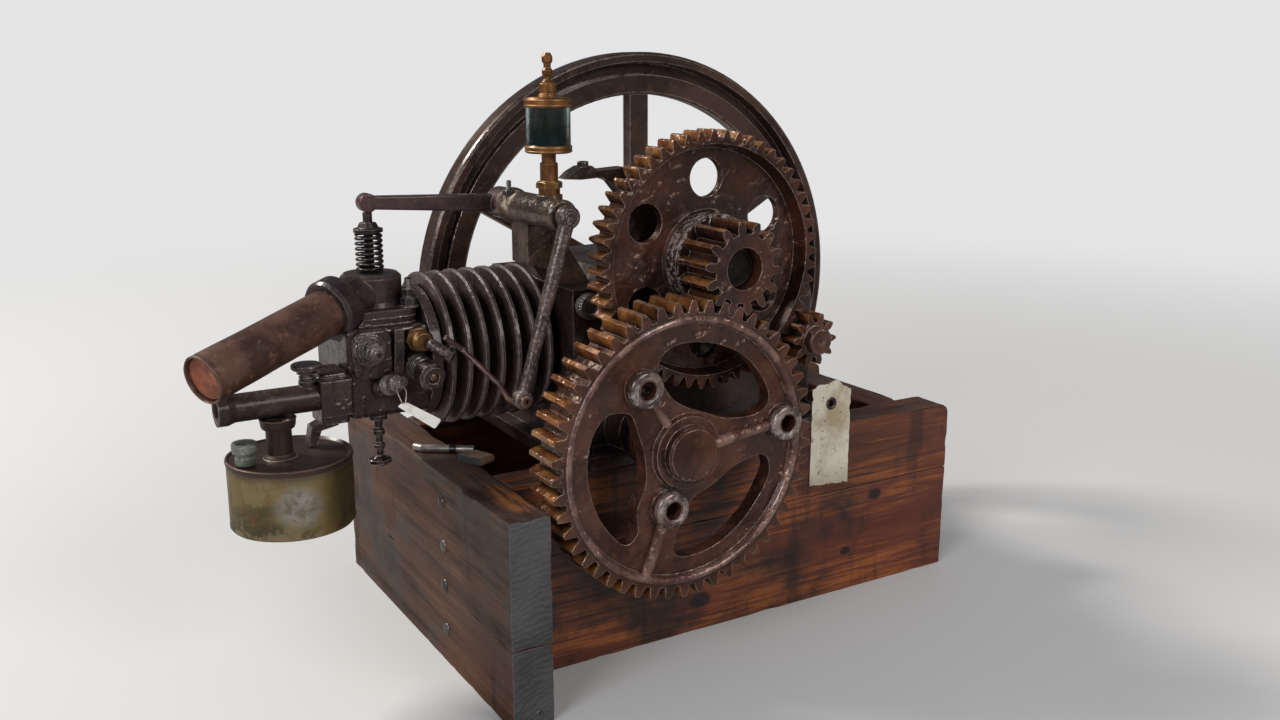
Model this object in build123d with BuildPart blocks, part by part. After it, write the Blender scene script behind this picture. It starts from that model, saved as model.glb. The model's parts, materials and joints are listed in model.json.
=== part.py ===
from build123d import *
from math import atan2, cos, pi, radians, sin, sqrt, tan
import os

os.makedirs("parts", exist_ok=True)

# Frame: millimetres, +Z up, origin on the floor under the middle of the left timber.
# +X runs along the two long beams, +Y runs back from the gears to the flywheel.

# Timber stand
stand_height = 182.0
board = 38.0
side_length = 406.0
beam_length = 512.0
beam_front = -125.5
stand_left = -board / 2
upper_share = 0.61
wear = 2.5
corner_wear = 14.0
cross_x = 474.0

# Shaft places in the X and Z plane
crank_x = 312.0
crank_z = 284.0
idler_angle = 142.71
pump_angle = -109.55

# Gear trains: a finer pair at the crank, a coarser pair at the pump wheel
fine_module = 25.4 / 6
coarse_module = 25.4 / 5
crank_teeth = 10
idler_teeth = 52
small_teeth = 14
pump_teeth = 50
tooth_slack = 0.45
fine_form = (25, 0.9, 1.2)
coarse_form = (20, 0.92, 1.15)

fine_centres = fine_module * (crank_teeth + idler_teeth) / 2
coarse_centres = coarse_module * (small_teeth + pump_teeth) / 2
idler_x = crank_x + fine_centres * cos(radians(idler_angle))
idler_z = crank_z + fine_centres * sin(radians(idler_angle))
pump_x = idler_x + coarse_centres * cos(radians(pump_angle))
pump_z = idler_z + coarse_centres * sin(radians(pump_angle))

# Stations along Y, from the viewer's side to the back
pump_front = -198.0
pump_back = -158.0
idler_front = -152.0
idler_back = -127.0
pinion_boss_front = -176.0
pinion_front = -166.0
pinion_back = -124.0
boss_front = -122.0
case_front = -98.0
case_back = 72.0
rear_boss_back = 122.0
rim_front = 142.0
rim_back = 170.0

# Shafts and running clearance
running = 0.05
crank_radius = 15.9
nose_radius = 12.0
pinion_end_wall = 3.0
stud_radius = 17.9
stud_sunk = 12.0
pump_shaft_radius = 15.0

# Flywheel
wheel_radius = 260.0
rim_depth = 45.0
lip_depth = 11.5
groove_wide = 12.5
ring_set_back = 6.0
groove_deep = 16.0
back_step = 3.0
spoke_count = 6
spoke_wide = 23.0
spoke_thick = 15.0
wheel_hub_radius = 38.0
hub_front = rim_front - 10
hub_back = rim_back + 20

# Crankcase
case_left = 96.0
case_right = 366.0
case_high = 352.0
plate_thick = 12.0
pad_z = 340.0
deck = stand_height

# Cylinder
cylinder_y = -13.0
barrel_radius = 44.0
fin_radius = 69.0
fin_count = 7
fin_first = -12.0
fin_pitch = 15.4
fin_thick = 5.0
barrel_left = -24.0
barrel_right = case_left

# Head and valve
head_left = -94.0
head_right = barrel_left
head_low = 240.0
head_high = 318.0
head_front = -58.0
head_back = 32.0
joint_z = 324.0
valve_x = -56.0
chest_high = 357.0
chest_radius = 26.0
stem_radius = 4.0
stem_top = 408.7
retainer_low = 392.0

# Exhaust branch and pipe
muffler_from = Vector(valve_x, cylinder_y, 342.5)
muffler_way = Vector(-0.869, -0.4305, -0.228).normalized()
branch_radius = 21.0
branch_gap = 0.5
collar_radius = 27.0
collar_start = 38.0
branch_end = 54.0
pipe_start = collar_start + 4
pipe_end = 185.0
pipe_radius = 20.5
pipe_wall = 2.5

# Rocker
rocker_x = 70.0
rocker_z = 410.0
rocker_front = -133.0
rocker_back = -33.0
rocker_shaft_radius = 8.0
tube_radius = 13.5
collar_gap = 2.0
oiler_y = -108.0
oiler_seat = rocker_z + tube_radius + 2

def ring_plane(y):
    """Plane facing the viewer, for round shapes about an axis along Y."""
    return Plane.XZ.offset(-y)


def side_plane(x):
    return Plane.YZ.offset(x)


def turned(origin, way, steps):
    """Solid of revolution: steps are pairs of distance along the way and radius."""
    along = Vector(*way).normalized()
    across = Vector(0, 0, 1).cross(along)
    if across.length < 0.01:
        across = Vector(0, 1, 0)
    with BuildPart() as piece:
        with BuildSketch(Plane(origin=origin, x_dir=along, z_dir=across)):
            with BuildLine():
                Polyline((steps[0][0], 0), *steps, (steps[-1][0], 0), close=True)
            make_face()
        revolve(axis=Axis(origin, tuple(along)))
    return piece.part


def stepped(lengths):
    """Steps for a turned piece from pairs of length and radius."""
    steps = []
    reach = 0.0
    for length, r in lengths:
        steps.append((reach, r))
        reach += length
        steps.append((reach, r))
    return steps


def gear_points(teeth, module, form, first, cx, cz):
    """Outline of one spur gear whose first tooth points along the angle first."""
    angle, tip_share, root_share = form
    alpha = radians(angle)
    pitch = module * teeth / 2
    base = pitch * cos(alpha)
    tip = pitch + tip_share * module
    root = pitch - root_share * module
    half = (pi * module / 2 - tooth_slack) / (2 * pitch)
    inv_pitch = tan(alpha) - alpha
    low = max(base, root)
    flank = []
    for k in range(5):
        r = low + (tip - low) * k / 4
        a = sqrt(max(0.0, (r / base) ** 2 - 1))
        inv = a - atan2(a, 1)
        flank.append((r, half + inv_pitch - inv))
    if root < low:
        flank.insert(0, (root, flank[0][1]))
    points = []
    for n in range(teeth):
        middle = radians(first) + 2 * pi * n / teeth
        for r, a in flank:
            points.append((cx + r * cos(middle - a), cz + r * sin(middle - a)))
        for r, a in reversed(flank):
            points.append((cx + r * cos(middle + a), cz + r * sin(middle + a)))
    return points


def root_of(teeth, module, form):
    return module * (teeth / 2 - form[2])


def tip_of(teeth, module, form):
    return module * (teeth / 2 + form[1])


# Tooth directions that put each pair in mesh at rest
crank_first = idler_angle
idler_first = idler_angle + 180 + 180 / idler_teeth
small_first = pump_angle
pump_first = pump_angle + 180 + 180 / pump_teeth

# Stand: each wall is two boards, the taller one on top at the side and below at the beams
split_high = stand_height * (1 - upper_share)
split_low = stand_height * upper_share
side_x = stand_left + board / 2
beam_x = stand_left + board + beam_length / 2


def plank(size_x, size_y, low, high, x, y, end_wear=0.0):
    """One board with worn edges, and a rounder top corner at its far end if asked for."""
    with BuildPart() as piece:
        with BuildSketch(Plane.XY.offset(low)):
            with Locations((x, y)):
                Rectangle(size_x, size_y)
        extrude(amount=high - low)
        if end_wear:
            fillet(piece.edges().filter_by(Axis.Y).group_by(Axis.Z)[-1].sort_by(Axis.X)[-1], radius=end_wear)
        fillet(piece.edges().filter_by(Axis.X), radius=wear)
        fillet(piece.edges().filter_by(Axis.Z), radius=wear)
    return piece


side_lower = plank(board, side_length, 0, split_high, side_x, 0)
side_lower.part.label = "side_board_lower"
export_step(side_lower.part, "parts/side_board_lower.step")

side_upper = plank(board, side_length, split_high, stand_height, side_x, 0)
side_upper.part.label = "side_board_upper"
export_step(side_upper.part, "parts/side_board_upper.step")

beam_front_lower = plank(beam_length, board, 0, split_low, beam_x, beam_front + board / 2)
beam_front_lower.part.label = "front_beam_lower"
export_step(beam_front_lower.part, "parts/front_beam_lower.step")

beam_front_upper = plank(beam_length, board, split_low, stand_height, beam_x, beam_front + board / 2, corner_wear)
beam_front_upper.part.label = "front_beam_upper"
export_step(beam_front_upper.part, "parts/front_beam_upper.step")

beam_back_lower = plank(beam_length, board, 0, split_low, beam_x, -beam_front - board / 2)
beam_back_lower.part.label = "back_beam_lower"
export_step(beam_back_lower.part, "parts/back_beam_lower.step")

beam_back_upper = plank(beam_length, board, split_low, stand_height, beam_x, -beam_front - board / 2, corner_wear)
beam_back_upper.part.label = "back_beam_upper"
export_step(beam_back_upper.part, "parts/back_beam_upper.step")

cross = plank(board, -2 * (beam_front + board), 0, stand_height, cross_x, 0)
cross.part.label = "cross_board"
export_step(cross.part, "parts/cross_board.step")

# Crankcase casting: foot plate over both beams, domed case, bosses for the three shafts
foot_over = 15.0
boss_flare = 34.0
arm_thick = 14.0
arm_front = -110.0
shoulder = (case_left + 44, case_high)
flank_top = (case_right, crank_z + 20)
arm_points = (
    (idler_x - 22, idler_z + 24),
    (idler_x - 44, idler_z + 64),
    (idler_x - 66, idler_z + 82),
    (idler_x - 92, idler_z + 80.5),
    (idler_x - 98, idler_z + 84.4),
    (idler_x - 108, idler_z + 84),
    (idler_x - 117, idler_z + 79.5),
    (idler_x - 123.5, idler_z + 74),
    (idler_x - 108, idler_z + 73),
    (idler_x - 89, idler_z + 74),
    (idler_x - 79, idler_z + 70),
    (idler_x - 62, idler_z + 50),
    (idler_x - 62, case_high + 20),
    (idler_x - 62, case_high - 4),
)
with BuildPart() as crankcase:
    with BuildSketch(ring_plane(case_front)):
        with BuildLine():
            Polyline(
                flank_top,
                (case_right, deck + 2),
                (case_left, deck + 2),
                (case_left, pad_z),
                (case_left + 36, pad_z),
                shoulder,
            )
            Spline(
                shoulder,
                (crank_x - 46, case_high + 4),
                (crank_x, case_high + 6),
                (crank_x + 34, case_high - 8),
                flank_top,
                tangents=((1, 0), (0, -1)),
            )
        make_face()
    extrude(amount=case_front - case_back)
    fillet(crankcase.edges().filter_by(GeomType.BSPLINE), radius=9)
    with BuildSketch(Plane.XY.offset(deck)):
        with Locations(((case_left + case_right) / 2, 0)):
            RectangleRounded(case_right - case_left + 2 * foot_over, -2 * beam_front, 12)
    extrude(amount=plate_thick)
    with BuildSketch(ring_plane(case_front + 26)):
        with Locations((idler_x, idler_z)):
            Circle(30)
        with BuildLine():
            Polyline(
                (idler_x - 60, pad_z),
                (idler_x - 28, idler_z),
                (idler_x + 28, idler_z),
                (idler_x + 60, pad_z),
                close=True,
            )
        make_face()
    extrude(amount=26)
    with BuildSketch(ring_plane(arm_front + arm_thick)):
        with BuildLine():
            Polyline(*arm_points, close=True)
        make_face()
    extrude(amount=arm_thick)
    add(turned((crank_x, case_front + 4, crank_z), (0, -1, 0), ((0, 46), (8, boss_flare), (28, boss_flare - 1))))
    add(turned((idler_x, case_front + 4, idler_z), (0, -1, 0), ((0, 30), (8, 26), (28, 25))))
    add(turned((pump_x, case_front + 4, pump_z), (0, -1, 0), ((0, 27), (8, 26), (28, 25))))
    add(turned((crank_x, case_back - 4, crank_z), (0, 1, 0), ((0, 60), (12, 40), (54, 38))))
    with BuildSketch(side_plane(case_left)):
        with Locations((cylinder_y, crank_z)):
            Circle(58)
    extrude(amount=10)
    for x, z in ((crank_x, crank_z), (pump_x, pump_z)):
        with BuildSketch(ring_plane(rear_boss_back if x == crank_x else case_back)):
            with Locations((x, z)):
                Circle((crank_radius if x == crank_x else pump_shaft_radius) + running)
        extrude(amount=rear_boss_back - boss_front + 1, mode=Mode.SUBTRACT)
crankcase.part.label = "crankcase"
export_step(crankcase.part, "parts/crankcase.step")

# Stud that carries the intermediate gear, sunk in the pinion's bore
stud_end = pump_front + stud_sunk
idler_stud = turned(
    (idler_x, boss_front, idler_z),
    (0, -1, 0),
    ((0, stud_radius), (boss_front - stud_end - 2, stud_radius), (boss_front - stud_end, stud_radius - 2)),
)
idler_stud.label = "idler_stud"
export_step(idler_stud, "parts/idler_stud.step")

# Crankshaft, smaller where it enters the pinion
shaft_back = rim_back + 26
crankshaft = turned(
    (crank_x, shaft_back, crank_z),
    (0, -1, 0),
    ((0, crank_radius - 2), (2, crank_radius), (shaft_back - pinion_back, crank_radius),
     (shaft_back - pinion_back, nose_radius), (shaft_back - pinion_front - pinion_end_wall, nose_radius)),
)
crankshaft.label = "crankshaft"
export_step(crankshaft, "parts/crankshaft.step")

# Crank pinion with its round front boss
with BuildPart() as crank_pinion:
    with BuildSketch(ring_plane(pinion_back)):
        with BuildLine():
            Polyline(*gear_points(crank_teeth, fine_module, fine_form, crank_first, crank_x, crank_z), close=True)
        make_face()
    extrude(amount=pinion_back - pinion_front)
    add(turned((crank_x, pinion_front + 1, crank_z), (0, -1, 0), (
        (0, 14), (2, 12.5), (pinion_front - pinion_boss_front - 0.5, 12.5), (pinion_front - pinion_boss_front + 1, 11))))
    with BuildSketch(ring_plane(pinion_back)):
        with Locations((crank_x, crank_z)):
            Circle(nose_radius)
    extrude(amount=pinion_back - pinion_front - pinion_end_wall, mode=Mode.SUBTRACT)
    add(turned((crank_x, pinion_boss_front - 1, crank_z), (0, 1, 0), ((0, 4.5), (2.5, 3))), mode=Mode.SUBTRACT)
crank_pinion.part.label = "crank_pinion"
export_step(crank_pinion.part, "parts/crank_pinion.step")

# Flywheel: rim with an outer lip, a deep groove and an inner ring, six straight spokes and hub
rim_wide = rim_back - rim_front
rim_inside = wheel_radius - rim_depth
lip_inside = wheel_radius - lip_depth
ring_outside = lip_inside - groove_wide
ring_front = rim_front + ring_set_back
ring_back = rim_back - back_step
spoke_reach = (rim_inside + ring_outside) / 2
with BuildPart() as flywheel:
    add(turned((crank_x, rim_back, crank_z), (0, -1, 0), (
        (0, wheel_radius - 5), (1.5, wheel_radius - 1.5), (5, wheel_radius), (rim_wide - 4, wheel_radius),
        (rim_wide - 1.5, wheel_radius - 1), (rim_wide, wheel_radius - 3))))
    add(turned((crank_x, rim_back + 1, crank_z), (0, -1, 0), (
        (0, ring_outside + 2), (1, ring_outside + 2), (back_step + 1, ring_outside), (back_step + 1, rim_inside + 2),
        (back_step + 3, rim_inside), (rim_wide - ring_set_back - 1, rim_inside),
        (rim_wide - ring_set_back + 1, rim_inside + 2), (rim_wide - ring_set_back + 1, lip_inside),
        (rim_wide + 2, lip_inside + 1))), mode=Mode.SUBTRACT)
    with BuildSketch(ring_plane(rim_front + groove_deep)):
        with Locations((crank_x, crank_z)):
            Circle(lip_inside)
            Circle(ring_outside, mode=Mode.SUBTRACT)
    extrude(amount=groove_deep, mode=Mode.SUBTRACT)
    with BuildSketch(ring_plane((ring_front + ring_back + spoke_thick) / 2)):
        with Locations((crank_x, crank_z)):
            with PolarLocations(spoke_reach / 2, spoke_count, start_angle=90):
                Rectangle(spoke_reach, spoke_wide)
    extrude(amount=spoke_thick)
    add(turned(
        (crank_x, hub_back, crank_z),
        (0, -1, 0),
        ((0, wheel_hub_radius - 3), (3, wheel_hub_radius), (hub_back - hub_front - 3, wheel_hub_radius),
         (hub_back - hub_front, wheel_hub_radius - 3)),
    ))
    with BuildSketch(ring_plane(hub_back)):
        with Locations((crank_x, crank_z)):
            Circle(crank_radius)
    extrude(amount=hub_back - hub_front, mode=Mode.SUBTRACT)
flywheel.part.label = "flywheel"
export_step(flywheel.part, "parts/flywheel.step")

# Intermediate gear and its front pinion in one casting, with a collar behind the pinion
rim_inner = 101.0
web_front = idler_front + 14
web_thick = 8.0
web_hole_ring = 72.0
web_hole = 17.0
idler_hub = 30.0
collar_front = -155.0
small_collar = tip_of(small_teeth, coarse_module, coarse_form) + 2
idler_bore = stud_radius + running
with BuildPart() as idler_gear:
    with BuildSketch(ring_plane(idler_back)):
        with BuildLine():
            Polyline(*gear_points(idler_teeth, fine_module, fine_form, idler_first, idler_x, idler_z), close=True)
        make_face()
    extrude(amount=idler_back - idler_front)
    add(turned((idler_x, idler_front - 1, idler_z), (0, 1, 0), (
        (0, rim_inner + 1), (4, rim_inner), (web_front - idler_front + 1, rim_inner - 3))), mode=Mode.SUBTRACT)
    add(turned((idler_x, idler_back + 1, idler_z), (0, -1, 0), (
        (0, rim_inner), (idler_back - web_front - web_thick + 1, rim_inner - 3))), mode=Mode.SUBTRACT)
    with BuildSketch(ring_plane(idler_back)):
        with Locations((idler_x, idler_z)):
            Circle(idler_hub)
    extrude(amount=idler_back - web_front)
    with BuildSketch(ring_plane(web_front + web_thick)):
        with Locations((idler_x, idler_z)):
            with PolarLocations(web_hole_ring, 6, start_angle=30):
                Circle(web_hole)
    extrude(amount=web_thick, mode=Mode.SUBTRACT)
    add(turned((idler_x, web_front + 1, idler_z), (0, -1, 0), (
        (0, small_collar + 4), (3, small_collar), (web_front - collar_front + 1, small_collar))))
    with BuildSketch(ring_plane(collar_front + 1)):
        with BuildLine():
            Polyline(
                *gear_points(small_teeth, coarse_module, coarse_form, small_first, idler_x, idler_z),
                close=True,
            )
        make_face()
    extrude(amount=collar_front + 1 - pump_front)
    with BuildSketch(ring_plane(idler_back)):
        with Locations((idler_x, idler_z)):
            Circle(idler_bore)
    extrude(amount=idler_back - pump_front, mode=Mode.SUBTRACT)
idler_gear.part.label = "idler_gear"
export_step(idler_gear.part, "parts/idler_gear.step")

# Pump gear: toothed rim, plate with three windows, ribs, and three bored crank-pin bosses
strokes = (2 * 25.4, 3 * 25.4, 4 * 25.4)
stroke_angles = (-111.6, 125.7, 6.7)
pin_hole = 8.0
pin_boss = 16.0
pin_boss_front = pump_front - 6
plate_front = pump_front + 5
plate_back = plate_front + 14
pump_hub = 34.0
pump_cap = 24.5
cap_front = pump_front - 9
rim_step = 113.0
windows = (
    ((17, 80), (20, 92), (33, 96), (60, 96), (88, 95), (103, 92), (110, 83), (111, 68), (105, 49),
     (86, 38), (56, 37), (30, 47), (19, 66)),
    ((147, 80), (152, 89), (166, 95), (184, 96), (205, 96), (222, 96), (232, 93), (234, 84), (224, 68),
     (212, 48), (192, 41), (170, 43), (152, 55), (144, 68)),
    ((262, 84), (264, 93), (276, 97), (300, 97), (326, 96), (342, 94), (348, 86), (346, 70), (332, 52),
     (304, 44), (278, 45), (267, 62)),
)
pins = []
for r, a in zip(strokes, stroke_angles):
    pins.append((pump_x + r * cos(radians(a)), pump_z + r * sin(radians(a))))
with BuildPart() as pump_gear:
    with BuildSketch(ring_plane(pump_back)):
        with BuildLine():
            Polyline(*gear_points(pump_teeth, coarse_module, coarse_form, pump_first, pump_x, pump_z), close=True)
        make_face()
    extrude(amount=pump_back - pump_front)
    add(turned((pump_x, pump_front - 1, pump_z), (0, 1, 0), (
        (0, rim_step + 1), (plate_front - pump_front + 1, rim_step - 2))), mode=Mode.SUBTRACT)
    add(turned((pump_x, pump_back + 1, pump_z), (0, -1, 0), (
        (0, rim_step), (pump_back - plate_back + 1, rim_step - 4))), mode=Mode.SUBTRACT)
    for edge in windows:
        with BuildSketch(ring_plane(plate_back)):
            with BuildLine():
                Spline(
                    *[(pump_x + r * cos(radians(a)), pump_z + r * sin(radians(a))) for a, r in edge],
                    periodic=True,
                )
            make_face()
        extrude(amount=plate_back - plate_front, mode=Mode.SUBTRACT)
    add(turned((pump_x, plate_back, pump_z), (0, 1, 0), ((0, pump_hub), (pump_back - plate_back + 12, pump_hub - 4))))
    add(turned((pump_x, plate_front + 1, pump_z), (0, -1, 0), (
        (0, pump_hub), (6, pump_hub - 2), (6, pump_cap), (plate_front + 1 - cap_front - 2, pump_cap),
        (plate_front + 1 - cap_front, pump_cap - 2))))
    for x, z in pins:
        add(turned((x, plate_back + 4, z), (0, -1, 0), (
            (0, pin_boss), (plate_back + 4 - pin_boss_front - 2, pin_boss), (plate_back + 4 - pin_boss_front, pin_boss - 2))))
    for (r, a), low, high in (((strokes[0], stroke_angles[0]), strokes[0], rim_step - 1),
                              ((strokes[2], stroke_angles[2]), pump_cap, strokes[2])):
        with BuildSketch(ring_plane(plate_front)):
            with Locations((pump_x, pump_z)):
                with PolarLocations((low + high) / 2, 1, start_angle=a):
                    Rectangle(high - low, 6)
        extrude(amount=5)
    for x, z in pins:
        with BuildSketch(ring_plane(plate_back + 4)):
            with Locations((x, z)):
                Circle(pin_hole)
        extrude(amount=plate_back + 4 - pin_boss_front, mode=Mode.SUBTRACT)
    with BuildSketch(ring_plane(pump_back + 12)):
        with Locations((pump_x, pump_z)):
            Circle(pump_shaft_radius)
    extrude(amount=pump_back + 12 - pump_front - 4, mode=Mode.SUBTRACT)
pump_gear.part.label = "pump_gear"
export_step(pump_gear.part, "parts/pump_gear.step")

# Shaft of the pump gear
pump_shaft = turned(
    (pump_x, case_back, pump_z),
    (0, -1, 0),
    ((0, pump_shaft_radius - 2), (2, pump_shaft_radius), (case_back - pump_front - 4, pump_shaft_radius)),
)
pump_shaft.label = "pump_shaft"
export_step(pump_shaft, "parts/pump_shaft.step")

# Cylinder with round cooling fins whose rims are rounded over
cylinder_steps = [(0, barrel_radius + 14), (9, barrel_radius + 14), (9, barrel_radius)]
for n in range(fin_count):
    near = fin_first - barrel_left + n * fin_pitch
    if near > 9.5:
        cylinder_steps.append((near, barrel_radius))
    cylinder_steps.append((near, fin_radius - 1.5))
    cylinder_steps.append((near + 1.2, fin_radius))
    cylinder_steps.append((near + fin_thick - 1.2, fin_radius))
    cylinder_steps.append((near + fin_thick, fin_radius - 1.5))
    cylinder_steps.append((near + fin_thick, barrel_radius))
cylinder_steps.append((barrel_right - barrel_left, barrel_radius))
cylinder = turned((barrel_left, cylinder_y, crank_z), (1, 0, 0), cylinder_steps)
cylinder.label = "cylinder"
export_step(cylinder, "parts/cylinder.step")


def along_pipe(distance):
    """Plane square to the exhaust pipe at a distance from the valve axis."""
    return Plane(origin=muffler_from + muffler_way * distance, z_dir=muffler_way)


branch_steps = (
    (0, branch_radius),
    (collar_start - 6, branch_radius),
    (collar_start, collar_radius),
    (branch_end - 3, collar_radius),
    (branch_end, collar_radius - 2),
)

# Head body: a block with a flange at the joint, cut clear of the exhaust branch
joint_long = head_right - head_left - 6
joint_wide = 78.0
joint_x = (head_left + head_right) / 2
with BuildPart() as head:
    with BuildSketch(side_plane(head_right)):
        with Locations((cylinder_y, (head_low + head_high) / 2)):
            RectangleRounded(head_back - head_front, head_high - head_low, 6)
    extrude(amount=head_left - head_right)
    fillet(head.edges().filter_by(Axis.X, reverse=True).group_by(Axis.X)[0], radius=5)
    with BuildSketch(Plane.XY.offset(head_high - 1)):
        with Locations((joint_x, cylinder_y)):
            RectangleRounded(joint_long, joint_wide, 12)
    extrude(amount=joint_z - head_high + 1)
    add(turned(muffler_from, muffler_way, [(d, r + branch_gap) for d, r in branch_steps]), mode=Mode.SUBTRACT)
    with BuildSketch(along_pipe(branch_end - 1)):
        Circle(pipe_radius + branch_gap)
    extrude(amount=20, mode=Mode.SUBTRACT)
head.part.label = "cylinder_head"
export_step(head.part, "parts/cylinder_head.step")

# Valve chest with its exhaust branch: flange, upright chest and a collar for the pipe
with BuildPart() as chest:
    with BuildSketch(Plane.XY.offset(joint_z)):
        with Locations((joint_x, cylinder_y)):
            RectangleRounded(joint_long, joint_wide, 12)
    extrude(amount=6)
    add(turned((valve_x, cylinder_y, joint_z), (0, 0, 1), (
        (0, chest_radius + 3), (10, chest_radius), (chest_high - joint_z - 3, chest_radius),
        (chest_high - joint_z, chest_radius - 3))))
    add(turned(muffler_from, muffler_way, branch_steps))
    with BuildSketch(along_pipe(pipe_start)):
        Circle(pipe_radius + running)
    extrude(amount=branch_end - pipe_start, mode=Mode.SUBTRACT)
    with BuildSketch(Plane.XY.offset(chest_high)):
        with Locations((valve_x, cylinder_y)):
            Circle(chest_radius)
    extrude(amount=20, mode=Mode.SUBTRACT)
    with BuildSketch(Plane.XY.offset(joint_z - 10)):
        with Locations((joint_x, cylinder_y)):
            Rectangle(joint_long, joint_wide)
    extrude(amount=10, mode=Mode.SUBTRACT)
    with BuildSketch(Plane.XY.offset(chest_high)):
        with Locations((valve_x, cylinder_y)):
            Circle(stem_radius + running)
    extrude(amount=joint_z - chest_high, mode=Mode.SUBTRACT)
chest.part.label = "valve_chest"
export_step(chest.part, "parts/valve_chest.step")

# Exhaust pipe with a plate sunk in its open end
cap_sunk = 4.0
cap_thick = 3.0
with BuildPart() as muffler:
    with BuildSketch(along_pipe(pipe_start)):
        Circle(pipe_radius)
        Circle(pipe_radius - pipe_wall, mode=Mode.SUBTRACT)
    extrude(amount=pipe_end - pipe_start)
muffler.part.label = "muffler"
export_step(muffler.part, "parts/muffler.step")

with BuildPart() as muffler_cap:
    with BuildSketch(along_pipe(pipe_end - cap_sunk)):
        Circle(pipe_radius - pipe_wall)
    extrude(amount=-cap_thick)
muffler_cap.part.label = "muffler_cap"
export_step(muffler_cap.part, "parts/muffler_cap.step")

# Exhaust valve with its retainer
valve_low = joint_z + 8
valve = turned((valve_x, cylinder_y, valve_low), (0, 0, 1), (
    (0, stem_radius),
    (retainer_low - valve_low, stem_radius),
    (retainer_low - valve_low, 12.5),
    (retainer_low - valve_low + 3, 12.5),
    (retainer_low - valve_low + 4, 9),
    (retainer_low - valve_low + 8, 7),
    (retainer_low - valve_low + 8, stem_radius),
    (stem_top - valve_low, stem_radius),
))
valve.label = "exhaust_valve"
export_step(valve, "parts/exhaust_valve.step")

# Valve spring between the chest and the retainer
wire = 1.5
coil_radius = 10.5
coil_low = chest_high + 0.2
coil_high = retainer_low - 0.2
turns = 7.5
coil_pitch = (coil_high - coil_low - 2 * wire) / turns
with BuildPart() as spring:
    with BuildLine():
        coil = Helix(coil_pitch, coil_pitch * turns, coil_radius, center=(valve_x, cylinder_y, coil_low + wire))
    with BuildSketch(Plane(origin=coil @ 0, z_dir=coil % 0)):
        Circle(wire)
    sweep(is_frenet=True)
spring.part.label = "valve_spring"
export_step(spring.part, "parts/valve_spring.step")

# Rocker bearing: a tube with a raised ring at its back end, on a pedestal that leans left
pedestal_front = -66.0
pedestal_back = -34.0
end_ring = 15.5
ring_long = 5.0
tube_long = rocker_back - rocker_front
pedestal_points = (
    (case_left + 2, pad_z),
    (case_left + 34, pad_z),
    (rocker_x + 30, rocker_z - 22),
    (rocker_x + tube_radius - 2, rocker_z),
    (rocker_x - tube_radius + 4, rocker_z),
    (rocker_x - 1, rocker_z - 14),
    (rocker_x - 1, pad_z + 20),
    (case_left - 9, pad_z + 16),
)
with BuildPart() as rocker_bearing:
    add(turned((rocker_x, rocker_back, rocker_z), (0, -1, 0), (
        (0, end_ring - 1), (1, end_ring), (ring_long, end_ring), (ring_long + 1, tube_radius),
        (tube_long - 1.5, tube_radius), (tube_long, tube_radius - 1.5))))
    with BuildSketch(ring_plane(pedestal_back)):
        with BuildLine():
            Polyline(*pedestal_points, close=True)
        make_face()
    extrude(amount=pedestal_back - pedestal_front)
    with BuildSketch(Plane.XY.offset(rocker_z)):
        with Locations((rocker_x, oiler_y)):
            Circle(11)
    extrude(amount=oiler_seat - rocker_z)
    with BuildSketch(ring_plane(rocker_back)):
        with Locations((rocker_x, rocker_z)):
            Circle(rocker_shaft_radius + running)
    extrude(amount=tube_long, mode=Mode.SUBTRACT)
rocker_bearing.part.label = "rocker_bearing"
export_step(rocker_bearing.part, "parts/rocker_bearing.step")

# Rocker shaft with its hub and the valve arm at the back
lash = 0.3
tip_radius = 8.0
tip_z = stem_top + lash + tip_radius
arm_wide = 13.0
arm_back = cylinder_y + arm_wide / 2
rocker_hub = 14.0
lever_front = rocker_front - 14
end_radius = 5.5
arm_root = 8.0
arm_tip = 5.5
with BuildPart() as rocker:
    with BuildSketch(ring_plane(arm_back)):
        with BuildLine():
            Polyline(
                (rocker_x, rocker_z + arm_root),
                (rocker_x, rocker_z - arm_root),
                (valve_x, tip_z - arm_tip),
                (valve_x, tip_z + arm_tip),
                close=True,
            )
        make_face()
        with Locations((valve_x, tip_z)):
            Circle(tip_radius)
    extrude(amount=arm_wide)
    fillet(rocker.edges().filter_by(Axis.Y, reverse=True), radius=1.5)
    add(turned((rocker_x, arm_back + 2, rocker_z), (0, -1, 0), (
        (0, rocker_hub - 2), (2, rocker_hub), (arm_back + 2 - rocker_back - collar_gap - 1, rocker_hub),
        (arm_back + 2 - rocker_back - collar_gap, rocker_hub - 1))))
    add(turned((rocker_x, arm_back, rocker_z), (0, -1, 0), (
        (0, rocker_shaft_radius), (arm_back - rocker_front + 1, rocker_shaft_radius),
        (arm_back - rocker_front + 1, end_radius), (arm_back - lever_front - 1, end_radius),
        (arm_back - lever_front, end_radius - 1))))
rocker.part.label = "rocker_arm"
export_step(rocker.part, "parts/rocker_arm.step")

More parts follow.
